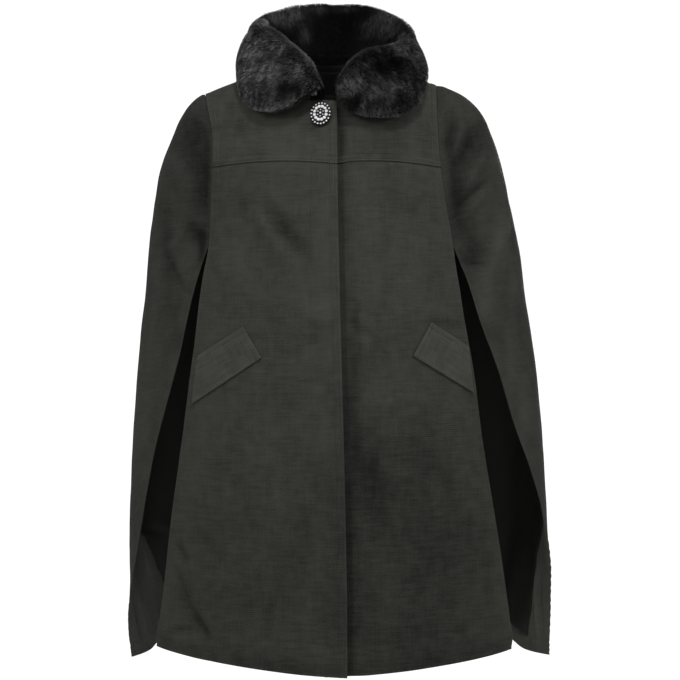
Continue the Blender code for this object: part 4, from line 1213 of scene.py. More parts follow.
def welt_place(side, s, t):
    """Place (x, z) on a welt: s from its inner to its outer end, t from its top to its low edge."""
    corners = np.array(WELTS[side])
    top = corners[0] + np.multiply.outer(s, corners[3] - corners[0])
    low = corners[1] + np.multiply.outer(s, corners[2] - corners[1])
    place = top + (low - top) * np.asarray(t)[..., None]
    return place[..., 0], place[..., 1]


def welt_height(side, s, t, x, z):
    """Height of a welt's face above the front's smooth form."""
    from_end = s * WELT_LENGTH
    from_top = t * WELT_DEPTH
    groove = bell(from_end - WELT_STITCH, WELT_GROOVE) + bell(from_top - WELT_STITCH, WELT_GROOVE)
    swell = np.sin(math.pi * np.clip(t, 0.0, 1.0)) * np.sin(math.pi * np.clip(s, 0.0, 1.0)) ** 0.5
    return front_relief(side, x, z) + WELT_LIFT + WELT_CLOTH + WELT_SWELL * swell - WELT_DENT * groove


for side in SIGN:
    s, t = np.meshgrid(np.concatenate([WELT_PLACES / WELT_LENGTH, np.linspace(0.16, 0.985, 26), [1.0]]),
                       np.concatenate([WELT_PLACES / WELT_DEPTH, np.linspace(0.29, 0.97, 14), [1.0]]))
    x, z = welt_place(side, s, t)
    grid, out = front_frame(side, x, z)
    height = welt_height(side, s, t, x, z)
    piece = add_cloth("welt_" + side + "_cloth", grid, out, height, WELT_CLOTH, LIT_WELT_WOOL)
    dress("welt_" + side, grid, ["front_" + side])

# Stitching. Charcoal sewing thread in short even stitches: twice along the closure edge and above the yoke
# seam, along the armhole bands, the fly and the welts, with bars at the welts' low corners, and once inside
# the side panels' hems.
STITCH = 0.0026
STITCH_PITCH = 0.0037
THREAD_HALF = 0.00030
THREAD_SINK = 0.00005
STITCH_SWAY = 0.10
EDGE_LINE_TOP = -0.070
BAND_LINE_TOP = -0.052
BAR_FROM_TO = (0.02, 0.10)
BAR_DOWN = 0.955
BAR_LIFT = 0.0004
BAR_PITCH = 0.0008
BAR_STITCH = 0.0030
THREAD, start = new_finish("thread", {"Roughness": 0.55, "Specular IOR Level": 0.35})
feed(THREAD, {
    "Base Color": start.mix(start.marks().part(0), (0.040, 0.041, 0.037, 1.0), (0.085, 0.086, 0.080, 1.0))})


def along_line(points, pitch):
    """Evenly spaced points along a line, with the directions there."""
    length = arc_lengths(points, 0)
    places = np.arange(0.5 * pitch, length[-1], pitch)
    spots = picked(places, length, points)
    return spots, picked(places + 0.25 * pitch, length, points) - spots


def add_stitches(name, lines, pitch, stitch, seed):
    """Stitches along lines given as (points, outward directions), each a small pointed length of thread."""
    corners, tones = [], []
    chance = np.random.default_rng(seed)
    for points, out in lines:
        both = np.concatenate([points, out], axis=1)
        spots, ahead = along_line(both, pitch)
        run = ahead[:, :3] / np.linalg.norm(ahead[:, :3], axis=1, keepdims=True)
        up = spots[:, 3:] / np.linalg.norm(spots[:, 3:], axis=1, keepdims=True)
        aside = np.cross(up, run)
        run += aside * chance.uniform(-STITCH_SWAY, STITCH_SWAY, (len(run), 1))
        middle = spots[:, :3] - up * THREAD_SINK
        reach = stitch / 2.0 * chance.uniform(0.9, 1.1, (len(run), 1))
        corners.append(np.stack([
            middle - run * reach - up * THREAD_HALF, middle + run * reach - up * THREAD_HALF,
            middle + aside * THREAD_HALF, middle + up * THREAD_HALF * 1.3,
            middle - aside * THREAD_HALF, middle - up * THREAD_HALF], axis=1).reshape(-1, 3))
        tones.append(np.repeat(chance.uniform(0.0, 1.0, len(run)), 6))
    points = np.concatenate(corners)
    tone = np.concatenate(tones)
    one = np.array([(0, 2, 3), (0, 3, 4), (0, 4, 5), (0, 5, 2),
                    (1, 3, 2), (1, 4, 3), (1, 5, 4), (1, 2, 5)])
    faces = (np.arange(len(points) // 6)[:, None, None] * 6 + one).reshape(-1, 3)
    piece = add_piece(name, points, faces, THREAD, np.stack([tone, tone, tone], axis=-1))


def sewn_line(side, x, z):
    """A line on a front, on top of its creases and grooves."""
    grid, out = front_frame(side, x, z)
    return grid + out * front_relief(side, x, z)[:, None], out


def welt_line(side, s, t, lift=0.0):
    """A line on the face of a welt."""
    x, z = welt_place(side, s, t)
    grid, out = front_frame(side, x, z)
    return grid + out * (welt_height(side, s, t, x, z) + lift)[:, None], out


for side in SIGN:
    grid, out, height = SIDE_GRIDS[side]
    k = int(np.argmin(np.abs(grid[:, 0, 2] - SIDE_HEM - HEM_TURN / 2.0)))
    hem_line = (grid[k] + out[k] * (height[k] - CLOTH)[:, None])[1:-1]
    add_stitches("hem_stitches_" + side, [(hem_line, -out[k, 1:-1])], STITCH_PITCH, STITCH, 54)
down = np.linspace(EDGE_LINE_TOP, FRONT_HEM + 0.002, 240)
slant = np.linspace(0.0, 1.0, 12)
edge_lines = [sewn_line("right", closure_x("right", down) - inset, down) for inset in EDGE_STITCHES]
edge_lines.append(sewn_line("right", np.full(100, FLY_X), np.linspace(FLY_TOP, FLY_FOOT, 100)))
edge_lines.append(sewn_line("right", FLY_X + slant * (FLY_END_X - FLY_X),
                            FLY_FOOT + slant * (FLY_END_Z - FLY_FOOT)))
add_stitches("closure_stitches", edge_lines, STITCH_PITCH, STITCH, 51)
for side in SIGN:
    across = front_columns(side, np.array([[YOKE_SEAM]]))[0]
    if side == "left":
        across = across[across > closure_x("right", YOKE_SEAM) + 0.002]
    rise = yoke_seam_z(front_share(side, across, YOKE_SEAM))
    down = np.linspace(BAND_LINE_TOP, SLIT_TOP - 0.006, 70)
    inset = np.linspace(0.03, 0.97, 30)
    seam_lines = [sewn_line(side, across, rise + above) for above in YOKE_STITCHES]
    seam_lines.append(sewn_line(side, SIGN[side] * (EDGE[side](down) - BAND), down))
    seam_lines.append(welt_line(side, np.full(30, WELT_STITCH / WELT_LENGTH), inset))
    seam_lines.append(welt_line(side, inset, np.full(30, WELT_STITCH / WELT_DEPTH)))
    add_stitches("seam_stitches_" + side, seam_lines, STITCH_PITCH, STITCH, 52)
    bar = welt_line(side, np.linspace(*BAR_FROM_TO, 10), np.full(10, BAR_DOWN), BAR_LIFT)
    add_stitches("welt_bar_" + side, [bar], BAR_PITCH, BAR_STITCH, 53)

# Neck facing and label. A black facing of the lining cloth inside the back of the neck, and a small plain
# black satin tape sewn to it.
FACING_HALF = 0.062
LABEL_HALF = 0.0175
LABEL_TOP = -0.0030
LABEL_FOOT = -0.0335
LABEL_CLOTH = 0.0009
LABEL_EASE = 0.0008
made, start = new_finish("label", {"Specular IOR Level": 0.15})
marks = start.marks()
satin = (marks.part(1) * (2.0 * math.pi / 0.0007)).sine()
# The tape's edges are paler from edge wear and a painted edge highlight
feed(made, {
    "Base Color": start.mix(marks.part(2), (0.0035, 0.0035, 0.0035, 1.0), (0.020, 0.020, 0.020, 1.0)),
    "Roughness": 0.50 + 0.08 * satin, "Normal": satin.bump(0.3, 0.0002)})
rows = [k for k in range(len(back)) if back[k, back.shape[1] // 2, 2] > LINING_TOP]
pick = np.ix_(rows[1:], np.flatnonzero(np.abs(back[0, :, 0]) < FACING_HALF))
piece = add_cloth("neck_facing_cloth", back[pick], back_out[pick], back_height[pick] - CLOTH - SEAM,
                  LINING_CLOTH, LINING)
dress("neck_facing", back[pick], ["back"])
x, z = np.meshgrid(np.linspace(-LABEL_HALF, LABEL_HALF, 22), np.linspace(LABEL_TOP, LABEL_FOOT, 20))
grid = np.stack([x, back_y(x, z), z], axis=-1)
out = grid_directions(grid, (0.0, 1.0, 0.0))
lift = LABEL_EASE + 0.0006 * (0.5 + 0.5 * rumpled(x, z, 0.012, 61))
piece = add_cloth("neck_label_tape", grid, out, -CLOTH - LINING_CLOTH - 2.0 * SEAM - lift, LABEL_CLOTH, made)
dress("neck_label", grid, ["back"])

# Collar. Plush black fur cloth on a woven backing, turned down along its roll line and sewn to the neckline.
# The short dense pile lies away from the roll line in soft swirls and tufts, greyer at its tips.
Station = namedtuple("Station", "angle roll_x roll_y roll_z edge_x edge_y edge_z bend thick")
CENTRE_BACK = Station(180.0, 0.0, 0.080, 0.094, 0.0, 0.112, -0.004, 0.0095, 0.014)
COLLAR = {
    "right": (
        Station(11.0, 0.018, -0.099, -0.042, 0.028, -0.1075, -0.053, 0.0055, 0.010),
        Station(24.0, 0.032, -0.095, -0.018, 0.053, -0.106, -0.070, 0.0080, 0.013),
        Station(44.0, 0.055, -0.079, 0.010, 0.092, -0.092, -0.077, 0.0095, 0.014),
        Station(66.0, 0.081, -0.047, 0.034, 0.121, -0.064, -0.058, 0.0095, 0.014),
        Station(92.0, 0.104, -0.008, 0.052, 0.131, -0.008, -0.012, 0.0095, 0.014),
        Station(120.0, 0.098, 0.038, 0.070, 0.118, 0.056, -0.010, 0.0095, 0.014),
        Station(150.0, 0.058, 0.070, 0.088, 0.070, 0.100, -0.006, 0.0095, 0.014),
        CENTRE_BACK,
    ),
    "left": (
        Station(5.0, 0.005, -0.100, -0.040, 0.010, -0.1075, -0.073, 0.0055, 0.010),
        Station(18.0, 0.021, -0.096, -0.020, 0.032, -0.106, -0.081, 0.0080, 0.013),
        Station(40.0, 0.047, -0.082, 0.001, 0.076, -0.097, -0.086, 0.0095, 0.014),
        Station(66.0, 0.081, -0.048, 0.015, 0.118, -0.067, -0.064, 0.0095, 0.014),
        Station(92.0, 0.105, -0.008, 0.031, 0.131, -0.008, -0.012, 0.0095, 0.014),
        Station(120.0, 0.099, 0.038, 0.064, 0.118, 0.056, -0.010, 0.0095, 0.014),
        Station(150.0, 0.059, 0.070, 0.088, 0.070, 0.100, -0.006, 0.0095, 0.014),
        CENTRE_BACK,
    ),
}
STAND_THICK = 0.007
COLLAR_LIFT = 0.0012
FALL_BULGE = 0.09
COLLAR_STEPS = 64
STAND_STEPS = 12
TURN_STEPS = 10
FALL_STEPS = 18
STAND_SWELL = 0.7
EDGE_THIN = 0.38
EDGE_THIN_SHARE = 0.2
BACKING = 0.0040

# Pile: the size and lean of a blade, and how the blades crowd together and gather into tufts
PILE_LENGTH = 0.0088
PILE_RISE = 0.60
PILE_LEAN = 0.70
PILE_HALF = 0.00021
PILE_COUNT = 150000
TUFT_COUNT = 1900
TUFT_PULL = 0.12
COLLAR_ROUND = 0.62
EDGE_CROWD = 1.5
BACK_CROWD = 0.75
BACK_SHARE = 0.22
UNDER_SHARE = 0.45
ROLL_COLUMN = STAND_STEPS + TURN_STEPS // 2
ROLL_REACH = 5.0
SEAM_LONGER = 1.7
ROOT_SINK = 0.0004
END_ROWS = 1.4
END_LEAN = 1.4
FULL_HALF = 0.007
LEAST_LENGTH = 0.35
LEAST_TONE = 0.08

# How the pile swirls, how its length varies all over and along the roll line, and how its tone is mottled
PILE_SEED = 71
SWIRLS = (Swell(0.75, 0.036, 72), Swell(0.30, 0.013, 73))
UNEVEN_LENGTH = (Swell(0.12, 0.015, 74),)
MOTTLED = (Swell(0.45, 0.015, 75),)
STREAKED = (Swell(0.45, 0.010, 76),)
UNEVEN_ROLL = (Swell(0.40, 0.026, 77),)

# Painted light and shade on each part of the collar: how grey the pile's tips are, near black inside
PILE_LIGHT_AND_SHADE = {"right": 1.04, "left": 0.53, "back": 0.60, "inside": 0.014}

# Patches where the pile is brushed another way, and painted highlights and shade, by part of the collar
BRUSHED_AND_PAINTED_LIGHT = {
    "right": (
        NapAndShade(-0.112, -0.005, 0.026, 0.045, 0.25),
        NapAndShade(-0.070, -0.009, 0.013, 0.012, -0.50),
        NapAndShade(-0.043, -0.005, 0.009, 0.018, 0.70),
        NapAndShade(-0.062, -0.050, 0.044, 0.014, -0.95),
        NapAndShade(-0.131, -0.057, 0.006, 0.024, 0.45),
        NapAndShade(-0.093, -0.082, 0.034, 0.005, 0.50),
        NapAndShade(-0.086, 0.018, 0.024, 0.012, 0.50),
        NapAndShade(-0.092, -0.066, 0.030, 0.009, -0.50),
    ),
    "left": (
        NapAndShade(0.026, -0.013, 0.013, 0.012, 0.55),
        NapAndShade(0.066, 0.010, 0.026, 0.006, 0.50),
        NapAndShade(0.100, 0.022, 0.020, 0.006, 0.45),
        NapAndShade(0.075, -0.016, 0.036, 0.016, -0.34),
        NapAndShade(0.020, -0.070, 0.017, 0.012, -0.50),
        NapAndShade(0.026, -0.049, 0.011, 0.010, 0.55),
        NapAndShade(0.065, -0.053, 0.009, 0.009, 0.30),
        NapAndShade(0.092, -0.046, 0.010, 0.008, 0.35),
        NapAndShade(0.126, -0.034, 0.009, 0.030, 0.45),
        NapAndShade(0.112, 0.004, 0.018, 0.024, 0.40),
        NapAndShade(0.071, -0.087, 0.045, 0.004, 0.50),
        NapAndShade(0.061, -0.069, 0.050, 0.010, -0.30),
    ),
    "inside": (
        NapAndShade(-0.053, 0.085, 0.016, 0.016, 0.60),
        NapAndShade(-0.075, 0.077, 0.022, 0.014, 0.50),
        NapAndShade(0.076, 0.079, 0.014, 0.014, 0.35),
        NapAndShade(-0.040, 0.048, 0.008, 0.014, 0.30),
        NapAndShade(0.088, 0.056, 0.022, 0.022, 0.55),
        NapAndShade(0.052, 0.062, 0.012, 0.016, 0.22),
        NapAndShade(-0.019, 0.090, 0.010, 0.006, 0.40),
        NapAndShade(0.020, 0.090, 0.014, 0.005, 0.25),
    ),
    "back": (),
}


def collar_track(side, name):
    """Smooth curve of the angle round the neck through one column of the collar table."""
    angles = np.array([station.angle for station in COLLAR[side]])
    values = np.array([getattr(station, name) for station in COLLAR[side]])
    slopes = np.gradient(values, angles)
    if not name.endswith("_x"):
        slopes[-1] = 0.0
    return curve(angles, values, slopes)


def collar_path(side, angle, tracks):
    """Middle line of the folded collar from the neck seam over the roll line to the fall's edge, with its
    outward directions and the half thickness of the fur."""
    sign = SIGN[side]
    here = {name: track(angle) for name, track in tracks.items()}
    seam_x = np.array(sign * NECK_HALF * math.sin(math.radians(angle)))
    if angle <= 90.0:
        seam_z = -NECK_DROP * np.sqrt(np.maximum(1.0 - (seam_x / NECK_HALF) ** 2, 0.0))
        seam_y = front_y(seam_x, seam_z)
    else:
        seam_z = np.array(-NECK_BACK * math.cos(math.radians(angle)))
        seam_y = back_y(seam_x, seam_z)
    seam = np.array([float(seam_x), float(seam_y), float(seam_z) + COLLAR_LIFT])
    roll = np.array([sign * here["roll_x"], here["roll_y"], here["roll_z"]])
    edge = np.array([sign * here["edge_x"], here["edge_y"], here["edge_z"]])
    up = np.array([0.0, 0.0, 1.0])
    out = (edge - seam) * (1.0, 1.0, 0.0)
    out /= np.linalg.norm(out)
    centre = roll - up * here["bend"]
    stand_top = centre - out * here["bend"]
    fall_top = centre + out * here["bend"]
    rising = np.linspace(0.0, 1.0, STAND_STEPS + 1)[:-1, None]
    turning = np.linspace(0.0, math.pi, TURN_STEPS + 1)[:, None]
    falling = np.linspace(0.0, 1.0, FALL_STEPS + 1)[1:, None]
    bulge = FALL_BULGE * np.linalg.norm(edge - fall_top)
    path = np.concatenate([
        seam + (stand_top - seam) * rising,
        centre + here["bend"] * (np.sin(turning) * up - np.cos(turning) * out),
        fall_top + (edge - fall_top) * falling + bulge * np.sin(math.pi * falling) * out])
    ahead = np.gradient(path, axis=0)
    flat = np.stack([ahead @ out, ahead @ up], axis=1)
    flat /= np.linalg.norm(flat, axis=1, keepdims=True)
    normal = -flat[:, 1:2] * out + flat[:, 0:1] * up
    half = np.full(len(path), here["thick"] / 2.0)
    stand = STAND_THICK / 2.0
    half[:STAND_STEPS] = stand + (half[:STAND_STEPS] - stand) * np.minimum(rising[:, 0] / STAND_SWELL, 1.0)
    near_edge = np.clip(1.0 - (1.0 - falling[:, 0]) / EDGE_THIN_SHARE, 0.0, 1.0)
    half[-FALL_STEPS:] *= 1.0 - EDGE_THIN * near_edge
    return path, normal, half


collar_lines = []
for side in SIGN:
    tracks = {name: collar_track(side, name) for name in Station._fields[1:]}
    angles = np.linspace(COLLAR[side][0].angle, 180.0, COLLAR_STEPS + 1)
    for angle in angles if side == "right" else angles[-2::-1]:
        collar_lines.append(collar_path(side, angle, tracks))
collar_middle, collar_out, collar_half = map(np.array, zip(*collar_lines))

made, start = new_finish("fur_backing", {"Roughness": 0.9, "Specular IOR Level": 0.1})
marks = start.marks()
knit = start.noise(marks.part(0) / 0.002, marks.part(1) / 0.002, 2.0)
feed(made, {
    "Base Color": start.mix(knit, (0.003, 0.003, 0.003, 1.0), (0.008, 0.008, 0.008, 1.0)),
    "Normal": knit.bump(0.5, 0.0008)})

# The stand's lower edge is sewn down over the neckline
NECK_STITCH = 0.0020
seated = collar_middle.copy()
seam_x, seam_z = seated[:, 0, 0], seated[:, 0, 2]
order = np.argsort(back[0, :, 0])
neckline = np.interp(seam_x, back[0, order, 0], back[0, order, 2])
at_front = seam_z < COLLAR_LIFT - 0.0001
seated[:, 0, 2] = np.where(at_front, seam_z, np.minimum(seam_z, neckline)) - NECK_STITCH
piece = add_cloth("collar_backing", seated, collar_out,
                  np.full(collar_middle.shape[:2], BACKING / 2.0), BACKING, made)
dress("collar", collar_middle, ["yoke_right", "yoke_left", "back"])

FUR, start = new_finish("fur", {"Roughness": 0.60, "Specular IOR Level": 0.05})
marks = start.marks()
toward_tip = marks.part(0)
tuft_tone = marks.part(1)
# The tuft tone holds each part's painted light and shade and the brushed patches' painted highlights and
# shade
feed(FUR, {
    "Base Color": start.mix(toward_tip ** 1.6 * tuft_tone,
                            (0.0020, 0.0020, 0.0020, 1.0), (0.190, 0.190, 0.187, 1.0))})


def pile_blades(count):
    """Blades of the pile all over the seen face of the collar and round the edge of its fall: five points
    each, their marks, and the part of the collar that each one grows on."""
    chance = np.random.default_rng(PILE_SEED)
    rows, columns = collar_middle.shape[:2]
    weight = cell_areas(collar_middle)
    for edge in (np.s_[:, -3:], np.s_[:7], np.s_[-7:]):
        weight[edge] *= EDGE_CROWD
    weight[np.abs(np.arange(rows - 1) - rows / 2) < rows * 0.20] *= BACK_CROWD
    total = np.cumsum(weight.ravel())
    cell = np.searchsorted(total, chance.uniform(0.0, total[-1], count))
    i, j = np.divmod(cell, columns - 1)
    s = chance.uniform(0.0, 1.0, (count, 1))
    t = chance.uniform(0.0, 1.0, (count, 1))

    def between(values):
        return ((values[i, j] * (1.0 - s) + values[i + 1, j] * s) * (1.0 - t)
                + (values[i, j + 1] * (1.0 - s) + values[i + 1, j + 1] * s) * t)

    up = between(collar_out)
    up /= np.linalg.norm(up, axis=1, keepdims=True)
    down_path = between(np.gradient(collar_middle, axis=1))
    down_path /= np.linalg.norm(down_path, axis=1, keepdims=True)
    beside = np.cross(up, down_path)
    around = (i + s[:, 0]) / (rows - 1) * COLLAR_ROUND
    along = between(arc_lengths(collar_middle, 1)[..., None])[:, 0]
    from_front = np.minimum(i, rows - 2 - i)
    under = (chance.uniform(0.0, 1.0, count) < UNDER_SHARE) & ((j > columns - 6) | (from_front < 9))
    face_side = np.where(under, -1.0, 1.0)[:, None]
    root = between(collar_middle) + up * face_side * (BACKING / 2.0 - ROOT_SINK)
    swirl = swelling(SWIRLS, around, along) + chance.normal(0.0, 0.20, count)
    swirl += math.pi * ((j < 2) & (chance.uniform(0.0, 1.0, count) < 0.7))
    ends = np.clip(1.0 - np.minimum(i + s[:, 0], rows - 1 - i - s[:, 0]) / END_ROWS, 0.0, 1.0)
    lie = down_path * np.cos(swirl)[:, None] + beside * np.sin(swirl)[:, None]
    outward = np.where((i < rows / 2)[:, None], -1.0, 1.0) * between(np.gradient(collar_middle, axis=0))
    outward /= np.maximum(np.linalg.norm(outward, axis=1, keepdims=True), 1e-9)
    lie += ends[:, None] * END_LEAN * outward
    lie /= np.linalg.norm(lie, axis=1, keepdims=True)
    room = np.minimum(between(collar_half[..., None])[:, 0] / FULL_HALF, 1.0)
    length = PILE_LENGTH * (LEAST_LENGTH + (1.0 - LEAST_LENGTH) * room)
    length *= 0.92 + swelling(UNEVEN_LENGTH, around, along)
    rolled = bell(j - ROLL_COLUMN, ROLL_REACH)
    length *= 1.0 + rolled * swelling(UNEVEN_ROLL, around, 0.0 * along)
    length = (length * chance.uniform(0.85, 1.08, count) * np.where(j < 2, SEAM_LONGER, 1.0))[:, None]
    stand = up * face_side
    tip = root + length * (stand * PILE_RISE + lie * PILE_LEAN)

    tufts = chance.choice(count, TUFT_COUNT, replace=False)
    tree = KDTree(TUFT_COUNT)
    for k, spot in enumerate(root[tufts]):
        tree.insert(spot, k)
    tree.balance()
    nearest = tufts[np.array([tree.find(spot)[1] for spot in root])]
    tip += TUFT_PULL * (tip[nearest] - tip) * chance.uniform(0.5, 1.2, (count, 1))
    middle = root + 0.5 * (tip - root) + stand * length * 0.10
    run = tip - root
    run /= np.linalg.norm(run, axis=1, keepdims=True)
    aside = np.cross(run, stand)
    aside /= np.maximum(np.linalg.norm(aside, axis=1, keepdims=True), 1e-9)
    tilt = chance.normal(0.0, 0.45, (count, 1))
    aside = aside * np.cos(tilt) + np.cross(run, aside) * np.sin(tilt)
    wide = PILE_HALF * chance.uniform(0.8, 1.3, (count, 1))
    points = np.stack([root + aside * wide, root - aside * wide, middle + aside * wide * 0.9,
                       middle - aside * wide * 0.9, tip], axis=1)
    behind = np.abs(i - rows / 2) < rows * BACK_SHARE
    where = np.where(behind, "back", np.where(i < rows / 2, "right", "left"))
    where = np.where(j < np.where(behind, ROLL_COLUMN, STAND_STEPS), "inside", where)
    # Each part's painted light and shade, mottled, with the brushed patches and their painted highlights and
    # shade
    tone = np.zeros(count)
    for part, level in PILE_LIGHT_AND_SHADE.items():
        shown = level * (1.0 + swelling(MOTTLED, around, along))
        shown += nap_and_shade_tone(BRUSHED_AND_PAINTED_LIGHT[part], tip[:, 0], tip[:, 2])
        tone = np.where(where == part, np.maximum(shown, LEAST_TONE * level), tone)
    tone *= 1.0 + swelling(STREAKED, around / 0.35, along / 1.5)
    tone = tone * chance.uniform(0.60, 1.35, count)[nearest] * chance.uniform(0.7, 1.15, count)
    reach = np.broadcast_to(np.array([0.0, 0.0, 0.55, 0.55, 1.0]), (count, 5))
    tones = np.broadcast_to(tone[:, None], (count, 5))
    return points, np.stack([reach, tones, tones], axis=-1), where


points, marks, where = pile_blades(PILE_COUNT)
one_blade = np.array([(0, 1, 3), (0, 3, 2), (2, 3, 4)])
for part in PILE_LIGHT_AND_SHADE:
    chosen = where == part
    faces = (np.arange(chosen.sum())[:, None, None] * 5 + one_blade).reshape(-1, 3)
    piece = add_piece("collar_pile_" + part, points[chosen].reshape(-1, 3), faces, FUR,
                      marks[chosen].reshape(-1, 3))

# Button. A black oval button with a domed face, sewn on by its shank; set in it are a ring of large clear
# stones, a ring of small ones round the rim and a cluster at the middle, all faceted and foiled.
BUTTON_X = -0.015
BUTTON_Z = -0.0835
BUTTON_HALF_WIDTH = 0.0144
BUTTON_HALF_HEIGHT = 0.0178
BUTTON_RINGS = (
    (0.28, 0.0007), (0.28, 0.0022), (0.94, 0.0022), (0.985, 0.0025), (1.00, 0.0032), (0.985, 0.0039),
    (0.93, 0.0046), (0.80, 0.0054), (0.60, 0.0062), (0.40, 0.0066), (0.20, 0.0068), (0.02, 0.0069),
)
BUTTON_SEGMENTS = 72
Ring = namedtuple("Ring", "count reach half_size height")
STONES = (
    Ring(12, 0.58, 0.00242, 0.0064),
    Ring(19, 0.895, 0.00128, 0.0049),
    Ring(6, 0.28, 0.00098, 0.0067),
    Ring(1, 0.0, 0.00155, 0.0069),
)
seat, out = front_frame("right", np.array([BUTTON_X]), np.array([BUTTON_Z]))
seat, out = seat[0], out[0]
across = np.cross((0.0, 0.0, 1.0), -out)
across = -across if across[0] < 0.0 else across
across /= np.linalg.norm(across)
up = np.cross(out, across)
up = -up if up[2] < 0.0 else up
turn = np.linspace(0.0, 2.0 * math.pi, BUTTON_SEGMENTS, endpoint=False)
oval = np.cos(turn)[:, None] * across * BUTTON_HALF_WIDTH + np.sin(turn)[:, None] * up * BUTTON_HALF_HEIGHT
rings = np.array([seat + oval * reach + out * height for reach, height in BUTTON_RINGS])
here = np.arange(BUTTON_SEGMENTS)
ahead = np.roll(here, -1)
quads = np.stack([here, ahead, BUTTON_SEGMENTS + ahead, BUTTON_SEGMENTS + here], axis=-1)
faces = np.concatenate([k * BUTTON_SEGMENTS + quads for k in range(len(BUTTON_RINGS) - 1)])
made, start = new_finish("button_black", {"Specular IOR Level": 0.12})
scuff = start.noise(start.node("ShaderNodeTexCoord", {}, {}, out="Object").part(0) / 0.002, 0.0, 3.0)
feed(made, {
    "Base Color": start.mix(scuff, (0.0025, 0.0025, 0.0025, 1.0), (0.006, 0.006, 0.006, 1.0)),
    "Roughness": 0.42 + 0.12 * scuff})
piece = add_piece("button_dome", rings.reshape(-1, 3), faces, made)
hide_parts("button_base")

FACETS = 8
STONE_TOP = 0.57
STONE_SPIN = 0.31
Cut = namedtuple("Cut", "size rise turn")
CUTS = (Cut(0.90, -0.10, 0.0), Cut(1.00, 0.12, 0.0), Cut(0.80, 0.42, 0.5), Cut(0.52, 0.56, 0.0))
crown = []
for ring in STONES:
    for k in range(ring.count):
        angle = 2.0 * math.pi * (k + 0.5) / ring.count
        flat = across * BUTTON_HALF_WIDTH * math.cos(angle) + up * BUTTON_HALF_HEIGHT * math.sin(angle)
        middle = seat + flat * ring.reach + out * ring.height
        for cut in CUTS:
            spin = 2.0 * math.pi * (np.arange(FACETS) + cut.turn + STONE_SPIN * k) / FACETS
            crown.append(middle + out * cut.rise * ring.half_size + ring.half_size * cut.size * (
                np.cos(spin)[:, None] * across + np.sin(spin)[:, None] * up))
        crown.append((middle + out * STONE_TOP * ring.half_size)[None, :])
one_stone = []
for k in range(FACETS):
    ahead = (k + 1) % FACETS
    foot, girdle, star, table = ((level * FACETS + k, level * FACETS + ahead) for level in range(4))
    one_stone += [(foot[0], foot[1], girdle[1]), (foot[0], girdle[1], girdle[0])]
    one_stone += [(girdle[0], girdle[1], star[0]), (girdle[1], star[1], star[0])]
    one_stone += [(star[0], table[1], table[0]), (star[0], star[1], table[1])]
    one_stone += [(table[0], table[1], 4 * FACETS)]
stones = sum(ring.count for ring in STONES)
faces = (np.arange(stones)[:, None, None] * (4 * FACETS + 1) + np.array(one_stone)).reshape(-1, 3)
# A near-white base colour with painted glints stands in for the clear stones' reflections
made, start = new_finish("stones", {"Metallic": 0.30, "Coat Weight": 1.0, "Coat Roughness": 0.02})
painted_glint = start.noise(start.node("ShaderNodeTexCoord", {}, {}, out="Object").part(0) / 0.0012, 0.0, 1.0)
feed(made, {
    "Base Color": start.mix(painted_glint, (0.80, 0.82, 0.85, 1.0), (0.98, 0.98, 0.98, 1.0)),
    "Roughness": 0.06 + 0.08 * painted_glint})
piece = add_piece("button_stones", np.concatenate(crown), faces, made, smooth=False)
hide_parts("button_setting")

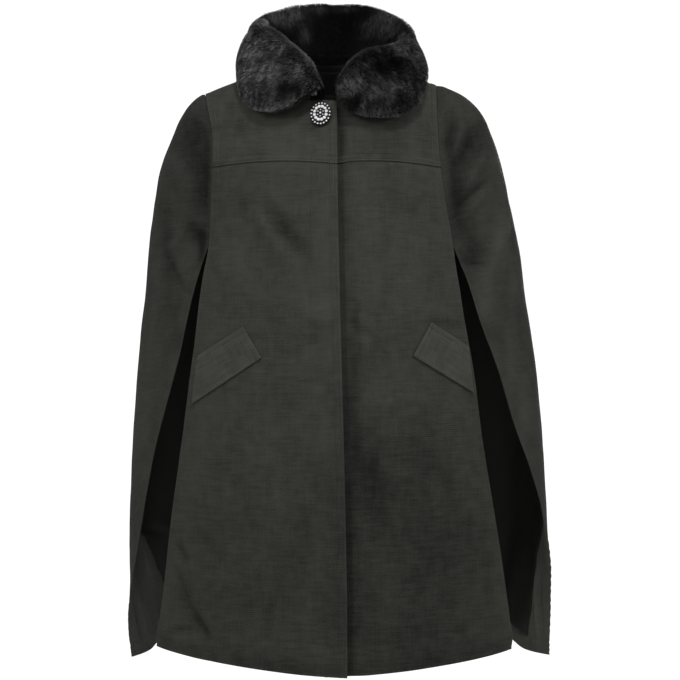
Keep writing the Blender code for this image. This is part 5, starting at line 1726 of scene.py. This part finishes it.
# Floor, light and camera. A pale studio floor far below the hanging coat, soft lamps at the upper left, in
# front, above and at the right, one behind for the fur's rim, and a white surround at the back.
FLOOR_Z = -1.30
FLOOR_REACH = 2.2
FLOOR_SIDES = 96
CAMERA_PLACE = (0.011, -2.7, -0.392)
CAMERA_LENS = 100.6
made, _ = new_finish("studio_floor", {"Base Color": (0.80, 0.80, 0.79, 1.0), "Roughness": 0.9})
turn = np.linspace(0.0, 2.0 * math.pi, FLOOR_SIDES, endpoint=False)
floor_mesh = bpy.data.meshes.new("floor")
floor_mesh.from_pydata([(FLOOR_REACH * math.cos(a), FLOOR_REACH * math.sin(a), FLOOR_Z) for a in turn], [],
                       [tuple(range(FLOOR_SIDES))])
floor_mesh.materials.append(made)
floor = bpy.data.objects.new("floor", floor_mesh)
bpy.context.scene.collection.objects.link(floor)

world = bpy.data.worlds.new("studio")
world.use_nodes = True
sky = Shade(world.node_tree)
depth = sky.node("ShaderNodeTexCoord", {}, {}, out="Generated").part(1)
behind = sky.node("ShaderNodeMapRange", {"interpolation_type": "SMOOTHSTEP"},
                  {0: depth, 1: 0.78, 2: 0.95, 3: 0.28, 4: 1.10})
world.node_tree.links.new(behind.socket, world.node_tree.nodes["Background"].inputs["Strength"])
world.node_tree.nodes["Background"].inputs["Color"].default_value = (1.0, 1.0, 1.0, 1.0)
bpy.context.scene.world = world
bpy.context.scene.view_settings.view_transform = "Standard"

Lamp = namedtuple("Lamp", "name place aim size power")
LAMPS = (
    Lamp("key", (-1.60, -1.7, 0.85), (0.0, 0.0, -0.15), 0.6, 20.0),
    Lamp("front", (0.0, -2.6, 0.30), (0.0, 0.0, -0.25), 1.6, 11.0),
    Lamp("top", (0.15, -1.25, 1.55), (0.0, 0.0, -0.10), 0.5, 20.0),
    Lamp("fill", (2.20, -0.8, 0.75), (0.0, 0.0, -0.15), 0.6, 20.0),
    Lamp("back", (0.9, 2.4, 0.50), (0.0, 0.0, -0.30), 0.8, 38.0),
)
for lamp in LAMPS:
    data = bpy.data.lights.new(lamp.name, "AREA")
    data.shape = "DISK"
    data.size = lamp.size
    data.energy = lamp.power
    light = bpy.data.objects.new(lamp.name, data)
    light.location = lamp.place
    toward = np.array(lamp.aim) - np.array(lamp.place)
    tilt = math.acos(-toward[2] / np.linalg.norm(toward))
    light.rotation_euler = (tilt, 0.0, math.atan2(-toward[0], toward[1]))
    bpy.context.scene.collection.objects.link(light)

lens = bpy.data.cameras.new("camera")
lens.lens = CAMERA_LENS
lens.sensor_width = 36.0
camera = bpy.data.objects.new("camera", lens)
camera.location = CAMERA_PLACE
camera.rotation_euler = (math.pi / 2.0, 0.0, 0.0)
bpy.context.scene.collection.objects.link(camera)
bpy.context.scene.camera = camera
